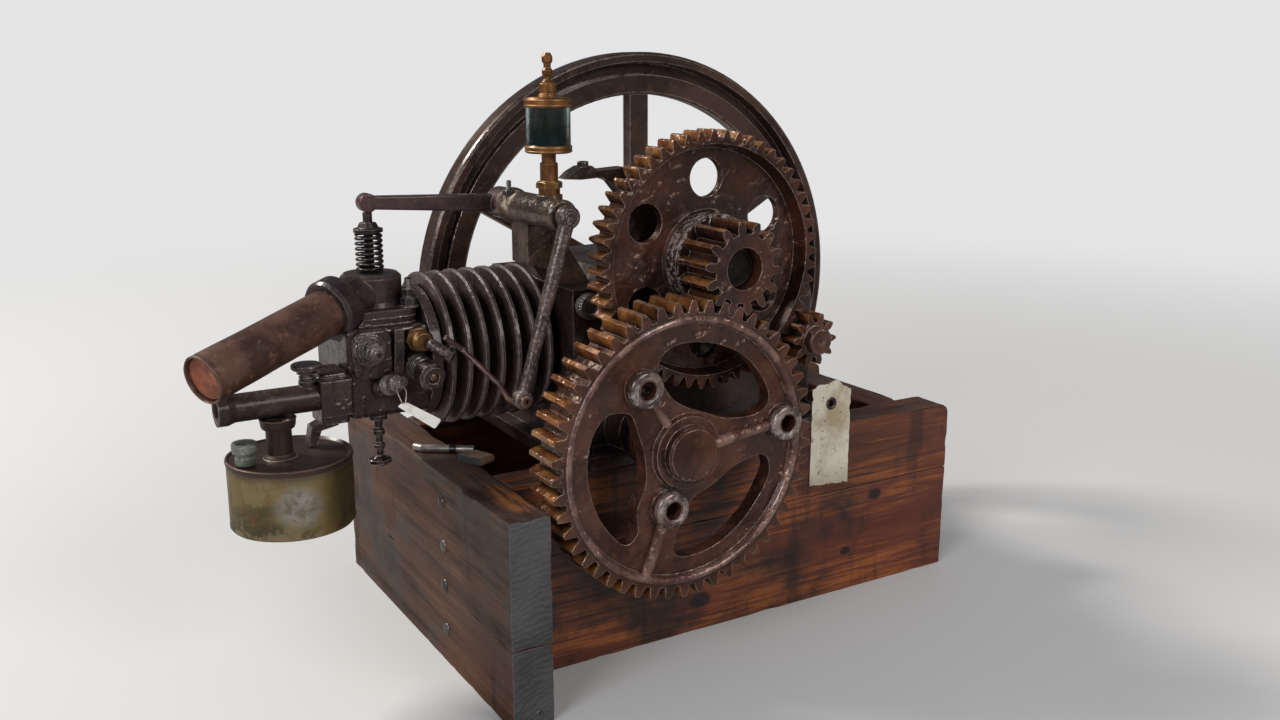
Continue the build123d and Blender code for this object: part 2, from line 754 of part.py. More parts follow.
# Push lever: a round bar that hangs from the front end of the rocker shaft to a bolted foot
lever_y = rocker_front - 8
lever_foot = (25.0, 262.0)
lever_top = Vector(rocker_x, lever_y, rocker_z)
lever_way = Vector(lever_foot[0], lever_y, lever_foot[1]) - lever_top
with BuildPart() as lever:
    add(turned((rocker_x, rocker_front - 2, rocker_z), (0, -1, 0), (
        (0, 8.4), (1.5, 9.4), (9.5, 9.4), (11, 8.6), (12, 7.2))))
    add(turned(lever_top, lever_way, (
        (0, 6.8), (20, 6.2), (lever_way.length - 14, 5.0), (lever_way.length, 5.6))))
    add(turned((lever_foot[0], lever_y + 6, lever_foot[1]), (0, -1, 0), (
        (0, 6.5), (1.5, 8), (10, 8), (11, 7), (11, 4), (11.5, 4))))
    with BuildSketch(ring_plane(rocker_front)):
        with Locations((rocker_x, rocker_z)):
            Circle(end_radius)
    extrude(amount=rocker_front - lever_front, mode=Mode.SUBTRACT)
lever.part.label = "push_lever"
export_step(lever.part, "parts/push_lever.step")

# Trip rod hooked to the foot of the lever
rod_radius = 2.2
rod_gap = 0.7
rod_points = (
    (lever_foot[0] - 8 - rod_gap, lever_y, lever_foot[1]),
    (lever_foot[0] - 12, lever_y + 2, lever_foot[1] + 2),
    (lever_foot[0] - 14.5, lever_y + 13, lever_foot[1] + 12),
    (lever_foot[0] - 34.5, lever_y + 40, lever_foot[1] + 38.5),
    (lever_foot[0] - 50, lever_y + 40, lever_foot[1] + 51),
)
with BuildPart() as trip_rod:
    with BuildLine() as rod_line:
        Polyline(*rod_points)
    with BuildSketch(Plane(origin=rod_line.line @ 0, z_dir=rod_line.line % 0)):
        Circle(rod_radius)
    sweep(transition=Transition.ROUND)
trip_rod.part.label = "trip_rod"
export_step(trip_rod.part, "parts/trip_rod.step")

# Drip oiler on the rocker bearing: turned brass with a glass between its rings
glass_low = oiler_seat + 41
glass_long = 30.5
glass_high = glass_low + glass_long
glass_radius = 18.5
oiler_steps = [
    (0, 9), (5.5, 9), (6, 10), (11, 10), (11.5, 7.5), (26, 7.5), (27, 6), (34, 6), (34.5, 18), (35.5, 19.5),
    (40, 19.5), (41, 18.8), (41, 3),
]
for rise, r in (
    (0, 3), (0, 18.8), (1, 19.5), (6.5, 19.5), (8.2, 18), (9, 8), (10, 8), (11, 7), (19, 7), (20, 5.5),
    (22.6, 3.2), (24.6, 3.2), (26.6, 4.4), (29.6, 4.4), (31.6, 3), (34.6, 3), (36.6, 4.4), (40.6, 4.4), (43.6, 2.6),
):
    oiler_steps.append((glass_high - oiler_seat + rise, r))
oiler_body = turned((rocker_x, oiler_y, oiler_seat), (0, 0, 1), oiler_steps)
oiler_body.label = "oiler_body"
export_step(oiler_body, "parts/oiler_body.step")

with BuildPart() as oiler_glass:
    with BuildSketch(Plane.XY.offset(glass_low)):
        with Locations((rocker_x, oiler_y)):
            Circle(glass_radius)
            Circle(glass_radius - 2.5, mode=Mode.SUBTRACT)
    extrude(amount=glass_high - glass_low)
oiler_glass.part.label = "oiler_glass"
export_step(oiler_glass.part, "parts/oiler_glass.step")

# Igniter on the front face of the head: plate, round boss and insulated post
igniter_x = -74.5
igniter_z = 296.5
post_x = -78.0
post_z = 302.0
with BuildPart() as igniter:
    with BuildSketch(ring_plane(head_front)):
        with Locations((igniter_x, igniter_z)):
            RectangleRounded(33, 41, 8)
    extrude(amount=8)
    fillet(igniter.edges().filter_by(Axis.Y, reverse=True).group_by(Axis.Y)[0], radius=2)
    add(turned((post_x, head_front - 7, post_z), (0, -1, 0), stepped(((4, 13), (3, 10.5), (4, 8), (6, 6), (10, 3.2)))))
igniter.part.label = "igniter"
export_step(igniter.part, "parts/igniter.step")

# Block behind the head's front face, which cuts slanted pieces flush with it
with BuildPart() as behind_face:
    with BuildSketch(ring_plane(head_front + 20)):
        with Locations((-50, 285)):
            Rectangle(80, 80)
    extrude(amount=20)

with BuildPart() as terminal:
    add(turned((-67.8, head_front, 266), (0.278, -0.907, 0.3145), (
        (-6, 8.2), (3.5, 8.2), (9, 6), (12, 5.5), (12, 8), (18, 8), (18, 4), (21, 4), (21, 6.5), (26, 6.5),
        (26, 4), (35, 4))))
    add(behind_face.part, mode=Mode.SUBTRACT)
terminal.part.label = "igniter_terminal"
export_step(terminal.part, "parts/igniter_terminal.step")

with BuildPart() as trip_bar:
    with BuildSketch(ring_plane(head_front)):
        with BuildLine():
            Polyline((-55, 316), (-47, 316), (-49, 279), (-57, 279), close=True)
        make_face()
    extrude(amount=8)
    fillet(trip_bar.edges().filter_by(Axis.Y), radius=1.5)
trip_bar.part.label = "trip_bar"
export_step(trip_bar.part, "parts/trip_bar.step")

housing_x = -37.0
housing_z = 283.8
with BuildPart() as spring_housing:
    add(turned((housing_x, head_front, housing_z), (0.088, -0.985, -0.15), (
        (-4, 10), (4, 10), (4, 11), (8, 11), (9, 9.5), (11, 9.5), (12, 11), (14, 11), (15, 9.5), (17, 9.5),
        (18, 11), (20, 11), (21, 9.5), (23, 9.5), (24, 11.8), (36, 11.8), (38.5, 9), (38.5, 5), (35, 4))))
    add(behind_face.part, mode=Mode.SUBTRACT)
spring_housing.part.label = "spring_housing"
export_step(spring_housing.part, "parts/spring_housing.step")

fitting_z = 306.0
brass_fitting = turned((housing_x + 2, head_front, fitting_z), (0, -1, 0), (
    (0, 8), (3, 8), (4, 10), (10, 10), (11, 8), (13, 8), (14, 9.3), (20, 9.3), (22, 7)))
brass_fitting.label = "brass_fitting"
export_step(brass_fitting, "parts/brass_fitting.step")

elbow_from = Vector(housing_x + 5, head_front - 22, fitting_z - 1)
steel_elbow = turned(elbow_from, (0.669, -0.584, -0.463), ((0, 3.5), (2, 5), (18, 5), (20, 6), (24, 6), (25, 4.5)))
with BuildPart() as elbow:
    add(steel_elbow)
    with BuildSketch(ring_plane(head_front)):
        with Locations((housing_x, fitting_z)):
            Circle(30)
    extrude(amount=22, mode=Mode.SUBTRACT)
elbow.part.label = "steel_elbow"
export_step(elbow.part, "parts/steel_elbow.step")

# Mixer: upright body and a lower flange on the left face of the head
mixer_wide = 24.0
mixer_left = head_left - mixer_wide
flange_left = mixer_left - 3
mixer_low = 240.0
mixer_high = 284.0
intake_y = -55.0
intake_z = 265.0
intake_radius = 12.0
intake_end = -202.0
with BuildPart() as mixer:
    with BuildSketch(Plane.XY.offset(mixer_low)):
        with Locations((head_left - mixer_wide / 2, -41)):
            RectangleRounded(mixer_wide, 34, 4)
    extrude(amount=mixer_high - mixer_low)
    fillet(mixer.edges().group_by(Axis.Z)[-1], radius=3)
    with BuildSketch(Plane.XY.offset(intake_z - 15)):
        with Locations(((flange_left + head_left) / 2, intake_y)):
            RectangleRounded(head_left - flange_left, 30, 3)
    extrude(amount=30)
mixer.part.label = "mixer"
export_step(mixer.part, "parts/mixer.step")

seat_radius = 7.0
needle_x = flange_left - seat_radius
seat_high = intake_z + intake_radius + 3
needle_radius = 3.0
needle_deep = 15.0
with BuildPart() as intake:
    add(turned((flange_left, intake_y, intake_z), (-1, 0, 0), (
        (0, intake_radius - 0.5), (flange_left - intake_end - 14, intake_radius - 0.5),
        (flange_left - intake_end - 8, intake_radius + 1.5), (flange_left - intake_end, intake_radius + 1.5),
        (flange_left - intake_end, intake_radius - 2), (flange_left - intake_end - 18, intake_radius - 4))))
    with BuildSketch(Plane.XY.offset(intake_z)):
        with Locations((needle_x, intake_y)):
            Circle(seat_radius)
    extrude(amount=seat_high - intake_z)
    with BuildSketch(Plane.XY.offset(seat_high)):
        with Locations((needle_x, intake_y)):
            Circle(needle_radius + running)
    extrude(amount=-needle_deep - 1, mode=Mode.SUBTRACT)
intake.part.label = "air_intake"
export_step(intake.part, "parts/air_intake.step")

# Needle valve with a flat round knob
needle_knob = turned((needle_x, intake_y, seat_high - needle_deep), (0, 0, 1), (
    (0, needle_radius), (needle_deep + 0.5, needle_radius), (needle_deep + 0.5, 6.5), (needle_deep + 3.5, 6.5),
    (needle_deep + 4, 5), (needle_deep + 5.5, 5), (needle_deep + 6, 8), (needle_deep + 9, 8),
    (needle_deep + 9.5, 11.5), (needle_deep + 10.5, 12.5), (needle_deep + 13, 12.5), (needle_deep + 14, 11.5)))
needle_knob.label = "needle_knob"
export_step(needle_knob, "parts/needle_knob.step")

# Fuel tank hung from the intake by its neck
tank_x = -146.0
tank_y = -53.0
tank_low = 161.0
tank_high = 220.0
tank_radius = 52.0
neck_x = tank_x - 8
with BuildPart() as tank:
    add(turned((tank_x, tank_y, tank_low), (0, 0, 1), (
        (0, tank_radius - 5), (2, tank_radius - 2), (6, tank_radius - 0.5), (tank_high - tank_low - 5, tank_radius - 0.5),
        (tank_high - tank_low - 4, tank_radius), (tank_high - tank_low - 1, tank_radius),
        (tank_high - tank_low, tank_radius - 1.5))))
    add(turned((neck_x, intake_y, tank_high - 1), (0, 0, 1), (
        (0, 13), (3, 10.5), (24, 10.5), (27, 13.5), (40, 14.5))))
    add(turned((flange_left + 1, intake_y, intake_z), (-1, 0, 0), (
        (0, intake_radius + 2), (flange_left - intake_end + 4, intake_radius + 2))), mode=Mode.SUBTRACT)
tank.part.label = "fuel_tank"
export_step(tank.part, "parts/fuel_tank.step")

cap = turned((tank_x - 38, tank_y - 10, tank_high), (0, 0, 1), stepped(((6, 8), (4, 6.5), (8, 9.5))))
cap.label = "filler_cap"
export_step(cap, "parts/filler_cap.step")

# Strap from the mixer's underside to the tank
with BuildPart() as strap:
    with BuildSketch(ring_plane(-32)):
        with BuildLine():
            Polyline(
                (mixer_left + 3, mixer_low),
                (mixer_left + 17, mixer_low),
                (mixer_left + 17, mixer_low - 5),
                (mixer_left + 2, mixer_low - 8),
                (mixer_left - 2, tank_high),
                (mixer_left - 9, tank_high),
                (mixer_left - 6, mixer_low - 4),
                close=True,
            )
        make_face()
    extrude(amount=13)
strap.part.label = "tank_strap"
export_step(strap.part, "parts/tank_strap.step")

# Rod with beads and a round foot under the head
drain_rod = turned((-67, -46, head_low), (0, 0, -1), (
    (0, 8), (4, 8), (5, 4), (12, 3.2), (14, 5.2), (18, 5.2), (20, 3.2), (25, 3.2), (27, 5), (30, 5), (32, 3.2),
    (37, 3.2), (39, 6), (40, 10), (43, 10), (45, 7)))
drain_rod.label = "drain_rod"
export_step(drain_rod, "parts/drain_rod.step")

# Loose steel rod and a wood shim lying on the side boards
deck_rod_radius = 3.6
deck_rod_z = deck + deck_rod_radius
with BuildPart() as deck_rod:
    with BuildLine() as deck_line:
        Polyline((-14, 12, deck_rod_z), (-10, 4, deck_rod_z), (30, -24, deck_rod_z))
    with BuildSketch(Plane(origin=deck_line.line @ 0, z_dir=deck_line.line % 0)):
        Circle(deck_rod_radius)
    sweep(transition=Transition.ROUND)
deck_rod.part.label = "deck_rod"
export_step(deck_rod.part, "parts/deck_rod.step")

with BuildPart() as shim:
    with BuildSketch(Plane.XY.offset(deck)):
        with BuildLine():
            Polyline((8, -38), (30, -36), (37, -54), (20, -62), close=True)
        make_face()
    extrude(amount=7)
    chamfer(shim.edges().group_by(Axis.Z)[-1].sort_by(Axis.X)[-1], length=3)
shim.part.label = "wood_shim"
export_step(shim.part, "parts/wood_shim.step")

# Paper tag with a round eyelet, against the front beam
tag_left = 344.0
tag_right = 393.0
tag_low = 122.0
tag_high = 224.0
tag_thick = 1.2
with BuildPart() as tag:
    with BuildSketch(ring_plane(beam_front)):
        with BuildLine():
            Polyline(
                (tag_left, tag_low),
                (tag_left, tag_high),
                (tag_left + 30, tag_high + 6),
                (tag_right, tag_high - 8),
                (tag_right, tag_low - 4),
                close=True,
            )
        make_face()
        with Locations((tag_left + 24, tag_high - 19)):
            Circle(3.5, mode=Mode.SUBTRACT)
    extrude(amount=tag_thick)
tag.part.label = "paper_tag"
export_step(tag.part, "parts/paper_tag.step")
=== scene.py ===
import json
from math import atan2, cos, pi, radians, sin
from types import SimpleNamespace
import bpy
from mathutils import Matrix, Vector, noise
from mathutils.geometry import tessellate_polygon


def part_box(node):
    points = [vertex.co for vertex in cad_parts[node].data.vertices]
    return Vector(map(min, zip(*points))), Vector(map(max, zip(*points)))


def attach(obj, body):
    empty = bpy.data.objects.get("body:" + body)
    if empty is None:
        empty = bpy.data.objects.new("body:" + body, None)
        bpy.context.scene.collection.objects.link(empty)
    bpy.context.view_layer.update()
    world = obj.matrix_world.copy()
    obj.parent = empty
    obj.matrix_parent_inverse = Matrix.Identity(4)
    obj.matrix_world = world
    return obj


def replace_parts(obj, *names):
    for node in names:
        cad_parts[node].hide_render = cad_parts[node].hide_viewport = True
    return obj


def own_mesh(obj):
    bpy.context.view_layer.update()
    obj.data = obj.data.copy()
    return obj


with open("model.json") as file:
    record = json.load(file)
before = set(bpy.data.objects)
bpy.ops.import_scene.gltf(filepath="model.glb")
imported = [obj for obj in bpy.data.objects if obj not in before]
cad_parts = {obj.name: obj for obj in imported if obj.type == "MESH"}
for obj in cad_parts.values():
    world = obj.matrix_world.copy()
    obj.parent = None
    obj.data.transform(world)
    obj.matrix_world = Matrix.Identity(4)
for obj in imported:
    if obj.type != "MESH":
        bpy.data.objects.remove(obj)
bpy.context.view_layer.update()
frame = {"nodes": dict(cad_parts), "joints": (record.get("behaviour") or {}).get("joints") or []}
print("frame loaded")


def added(name, data):
    made = bpy.data.objects.new(name, data)
    bpy.context.scene.collection.objects.link(made)
    return made


# Camera at the photograph's place
photoView = {"place": (-0.3878, -1.0169, 0.533), "down": 13.83, "round": -31.0, "lens": 34.03, "sensor": 36}
eye = bpy.data.cameras.new("photoCamera")
eye.lens = photoView["lens"]
eye.sensor_width = photoView["sensor"]
eyeObject = added("photoCamera", eye)
eyeObject.location = photoView["place"]
eyeObject.rotation_euler = (radians(90 - photoView["down"]), 0, radians(photoView["round"]))
bpy.context.scene.camera = eyeObject
bpy.context.scene.view_settings.view_transform = "Standard"

# Millimetres in a metre, noise scale whose blotches are a millimetre, rays per rounded corner,
# and the angle in degrees from which an edge of a solid looks sharp
perMetre = 1000
millimetreNoise = 500
cornerRays = 4
bodySharp = 32
finishes = {}


class Wire:
    # One output socket, with plain sums on it
    def __init__(self, finish, socket):
        self.finish = finish
        self.socket = socket

    def sum(self, operation, first, second=0.0):
        return self.finish.node("Math", {"operation": operation}, {0: first, 1: second})

    def __add__(self, other):
        return self.sum("ADD", self, other)

    def __radd__(self, other):
        return self.sum("ADD", other, self)

    def __sub__(self, other):
        return self.sum("SUBTRACT", self, other)

    def __rsub__(self, other):
        return self.sum("SUBTRACT", other, self)

    def __mul__(self, other):
        return self.sum("MULTIPLY", self, other)

    def __abs__(self):
        return self.sum("ABSOLUTE", self)


class Finish:
    # One material and the few moves its nodes need
    def __init__(self, name, slot):
        self.material = bpy.data.materials.new(name)
        self.material.use_nodes = True
        self.tree = self.material.node_tree
        self.tree.nodes.clear()
        self.slot = slot
        finishes[name] = self

    def node(self, kind, settings=None, sockets=None, output=0):
        made = self.tree.nodes.new("ShaderNode" + kind)
        for key, value in (settings or {}).items():
            setattr(made, key, value)
        for key, value in (sockets or {}).items():
            if isinstance(value, Wire):
                self.tree.links.new(value.socket, made.inputs[key])
            elif made.inputs[key].type == "RGBA":
                made.inputs[key].default_value = (*value, 1)
            else:
                made.inputs[key].default_value = value
        return Wire(self, made.outputs[output]) if made.outputs else None

    def place(self):
        return self.node("TexCoord", output="Object")

    def facing(self):
        return self.node("TexCoord", output="Normal")

    def axis(self, vector, letter):
        return self.node("SeparateXYZ", {}, {0: vector}, letter)

    def vector(self, operation, output, *values):
        return self.node("VectorMath", {"operation": operation}, dict(enumerate(values)), output)

    def scaled(self, vector, scale):
        return self.vector("MULTIPLY", 0, vector, scale)

    def shifted(self, vector, shift):
        return self.vector("SUBTRACT", 0, vector, shift)

    def length(self, vector):
        return self.vector("LENGTH", "Value", vector)

    def cloud(self, size, detail=4.0, rough=0.55, vector=None, warp=0.0):
        # Noise whose blotches are about this many millimetres wide
        return self.node("TexNoise", {}, {
            "Vector": vector or self.place(), "Scale": millimetreNoise / size, "Detail": detail,
            "Roughness": rough, "Distortion": warp}, "Fac")

    def ramp(self, value, low, high):
        return self.node("MapRange", {"interpolation_type": "SMOOTHSTEP"}, {
            "Value": value, "From Min": low, "From Max": high}, "Result")

    def band(self, value, near, full, last, gone):
        return self.ramp(value, near, full) * self.ramp(value, gone, last)

    def blend(self, share, first, second):
        return self.node("Mix", {"data_type": "RGBA"}, {0: share, 6: first, 7: second}, 2)

    def rounded(self, radius):
        return self.node("Bevel", {"samples": cornerRays}, {"Radius": radius / perMetre})

    def edge(self, bent, low=0.015, high=0.12):
        # Where the rounded normal leaves the flat one lies an edge; the finishes paint it as rubbed wear, and the
        # castings also as a painted highlight
        flat = self.node("NewGeometry", output="Normal")
        return self.ramp(1 - self.vector("DOT_PRODUCT", "Value", bent, flat), low, high)

    def hollow(self, reach):
        return 1 - self.node("AmbientOcclusion", {"samples": cornerRays}, {"Distance": reach / perMetre}, "AO")

    def bump(self, height, deep, under=None):
        sockets = {"Height": height, "Distance": deep / perMetre, "Strength": 1.0}
        if under:
            sockets["Normal"] = under
        return self.node("Bump", {}, sockets)

    def surface(self, **sockets):
        named = {key.replace("_", " "): value for key, value in sockets.items()}
        shader = self.node("BsdfPrincipled", {}, named)
        self.node("OutputMaterial", {}, {"Surface": shader})


def gearGreaseAndLight(cast, look, away, patch):
    # Amber grease on the flanks of the teeth that face up and back, laid on strongest where flanks face up and towards
    # -X as painted light; how much, and its colour
    ramp, blend = cast.ramp, cast.blend
    front = ramp(0 - cast.axis(cast.facing(), "Y"), 0.7, 0.95)
    # Flanks facing up and towards -X get the most amber: painted light
    above = ramp(cast.axis(cast.facing(), "Z") - cast.axis(cast.facing(), "X") * 0.5, -0.5, 0.6)
    grease = ramp(away, *look.greaseFrom) * ramp(patch, 0.26, 0.5)
    grease = grease * (0.25 + above * 0.75) * (1 - front * 0.8)
    if hasattr(look, "toothFrom"):
        # Up-facing teeth of the pinion get amber too: painted light
        tooth = cast.band(away, *look.toothFrom)
        tooth = tooth * ramp(cast.axis(cast.place(), "Y"), *look.toothBack)
        grease = grease + tooth * ramp(cast.axis(cast.facing(), "Z"), 0.1, 0.7) * (1 - front)
    tone = blend(ramp(cast.cloud(9, 3), 0.4, 0.62), look.grease, look.greaseLight)
    return grease, tone


def castFinish(name, look):
    # Old casting: sand grain, brown patches, oily dark film, pale rubbed edges that are also a painted highlight, and
    # near-black dirt with painted shade in hollows
    cast = Finish(name, look.slot)
    ramp, blend = cast.ramp, cast.blend
    patch = cast.cloud(look.patch, 5, 0.62)
    swell = cast.cloud(look.patch * look.swellShare, 2, 0.5)
    speck = cast.cloud(look.speck, 3, 0.7)
    sand = cast.cloud(look.sand, 2, 0.6)
    lump = cast.cloud(look.lump, 2, 0.5)
    corner = cast.rounded(look.round)
    rubbed = cast.edge(corner) * ramp(speck, *look.rubFade)
    dirt = cast.hollow(look.dirtReach)
    colour = blend(ramp(patch, *look.patchFade), look.dark, look.brown)
    colour = blend(ramp(speck, *look.speckFade) * look.speckShare, colour, look.rust)
    if hasattr(look, "centre"):
        away = cast.length(cast.scaled(cast.shifted(cast.place(), look.centre), (1, 0, 1)))
        grease, tone = gearGreaseAndLight(cast, look, away, patch)
        colour = blend(grease * look.greaseShare, colour, tone)
    # Near-black in the hollows: dirt, and painted shade where the hollows fall dark
    colour = blend(ramp(dirt, *look.dirtFade) * look.dirtShare, colour, look.dirt)
    # Pale bare metal on the edges: rubbed wear, and also a painted highlight where edges catch light
    colour = blend(rubbed * look.rubShare, colour, look.bare)
    if hasattr(look, "dab"):
        spot, reach, soft, tone = look.dab
        dab = ramp(cast.length(cast.shifted(cast.place(), spot)) + speck * 0.012, reach, reach - soft)
        colour = blend(dab * ramp(speck, 0.42, 0.56) * 0.75, colour, tone)
    # A pale band round the idler pinion's collar: a painted highlight
    if hasattr(look, "ring"):
        depth = cast.axis(cast.place(), "Y")
        ring = cast.band(away, *look.ring)
        ring = ring * ramp(depth, *look.ringFront) * ramp(depth, *look.ringBack)
        colour = blend(ring * ramp(cast.cloud(2.2, 3, 0.7), 0.46, 0.58) * 0.6, colour, look.ringTone)
    wet = ramp(cast.cloud(look.wetSize, 3, 0.5), *look.wetFade)
    rough = look.rough + speck * look.speckRough - wet * look.wetShare * look.wetSmooth
    height = sand * look.sandHigh + swell * look.swellHigh + speck * look.speckHigh
    height = height + ramp(lump, *look.lumpFade) * (0.4 + wet) * look.lumpHigh
    cast.surface(
        Base_Color=colour, Roughness=rough - rubbed * look.rubSmooth,
        Metallic=look.metal + rubbed * look.rubMetal,
        Specular_IOR_Level=look.shine, Specular_Tint=look.shineTint,
        Coat_Weight=wet * look.wetShare, Coat_Roughness=look.wetRough,
        Normal=cast.bump(height, look.bump, corner))


def turnedSteelFinish(name, look):
    # Handled steel: dull oily film with bright spots where it is rubbed
    steel = Finish(name, look.slot)
    patch = steel.cloud(look.patch, 4, 0.6)
    speck = steel.cloud(look.speck, 4, 0.7)
    corner = steel.rounded(look.round)
    rubbed = steel.edge(corner)
    bright = steel.ramp(speck, look.brightFrom, look.brightFrom + look.brightFade)
    colour = steel.blend(steel.ramp(patch, *look.patchFade), look.dark, look.brown)
    colour = steel.blend(bright * look.brightShare, colour, look.bright)
    colour = steel.blend(rubbed * look.rubShare, colour, look.bright)
    steel.surface(
        Base_Color=colour, Roughness=look.rough + patch * look.patchRough - bright * look.brightSmooth,
        Metallic=look.metal, Coat_Weight=look.coat, Coat_Roughness=look.coatRough,
        Normal=steel.bump(speck + patch * look.patchHigh, look.bump, corner))


def timberFinish(name, look):
    # Oiled old board: streaks along the grain, black stains, knots, grey weathered ends
    wood = Finish(name, "timber")
    ramp, blend = wood.ramp, wood.blend
    along = look.along

    def drawn(share):
        return wood.scaled(wood.place(), tuple(share if i == along else 1.0 for i in range(3)))

    def near(spot, scale):
        return wood.length(wood.scaled(wood.shifted(wood.place(), spot), scale))

    grainPlace = drawn(look.grain)
    fine = wood.cloud(look.fineSize, 4, 0.65, grainPlace)
    streak = wood.cloud(look.streakSize, 5, 0.6, grainPlace, 0.6)
    stripe = wood.cloud(look.stripeSize, 3, 0.5, drawn(0.16))
    cloudy = wood.cloud(look.cloudySize, 3, 0.5, drawn(0.4))
    stain = wood.cloud(look.stainSize, 5, 0.62)
    drip = wood.cloud(look.dripSize, 4, 0.6, wood.scaled(wood.place(), (1, 1, 0.14)))
    end = ramp(abs(wood.axis(wood.facing(), "XYZ"[along])), 0.6, 0.85)
    up = ramp(wood.axis(wood.facing(), "Z"), 0.5, 0.8)
    corner = wood.rounded(look.round)
    rubbed = wood.edge(corner, 0.02, 0.2)
    colour = blend(ramp(streak, 0.36, 0.6), look.dark, look.brown)
    colour = blend(ramp(cloudy, 0.42, 0.62) * look.redShare, colour, look.red)
    colour = blend(ramp(fine * 0.5 + stripe * 0.5, 0.5, 0.62) * look.glowShare, colour, look.glow)
    colour = blend(up * look.topShare * ramp(stain, 0.3, 0.55), colour, look.top)
    for spot, reach in getattr(look, "rubs", ()):
        rub = ramp(near(spot, (1, 0.35, 1)), reach, reach * 0.5)
        colour = blend(rub * ramp(fine, 0.4, 0.56) * 0.8, colour, look.rubTone)
    for spot, reach in getattr(look, "knots", ()):
        knot = near(spot, (0.7, 0, 1.1))
        colour = blend(ramp(knot, reach * 2.2, reach) * 0.55, colour, look.red)
        core = ramp(knot + (streak - 0.5) * 0.006, reach, reach * 0.55)
        colour = blend(core * 0.9, colour, look.stain)
    colour = blend(ramp(stain, 0.47, 0.66) * look.stainShare, colour, look.stain)
    colour = blend(ramp(drip, 0.56, 0.68) * look.dripShare * (1 - up), colour, look.stain)
    colour = blend(rubbed * look.wornShare, colour, look.worn)
    rings = wood.node("TexWave", {"wave_type": "RINGS", "rings_direction": "XYZ"[along]}, {
        "Vector": wood.shifted(wood.place(), look.heart), **look.rings}, "Fac")
    endColour = blend(ramp(rings * 0.1 + stain * 0.9, 0.35, 0.66), look.endDark, look.end)
    endColour = blend(rubbed * look.endEdgeShare, endColour, look.endEdge)
    colour = blend(end, colour, endColour)
    wet = ramp(stain, 0.44, 0.6)
    height = fine * 0.7 + streak * 1.0 + ramp(streak, 0.3, 0.22) * -1.5 + stain * 0.8
    wood.surface(
        Base_Color=colour, Roughness=look.rough + fine * 0.3 + end * 0.1 - wet * 0.1,
        Specular_IOR_Level=look.shine, Coat_Weight=(look.sheen + wet * 0.35) * (1 - end * 0.7),
        Coat_Roughness=look.sheenRough, Normal=wood.bump(height, look.bump, corner))


def sideways(way):
    # The unit vector along the way, and two across it
    way = Vector(way).normalized()
    side = way.cross(Vector((0, 0, 1)) if abs(way.z) < 0.9 else Vector((1, 0, 0))).normalized()
    return way, side, way.cross(side)


def ringFaces(rings, count):
    faces = []
    for ring in range(rings):
        for k in range(count):
            a, b = ring * count + k, ring * count + (k + 1) % count
            faces.append([a, b, b + count, a + count])
    return faces


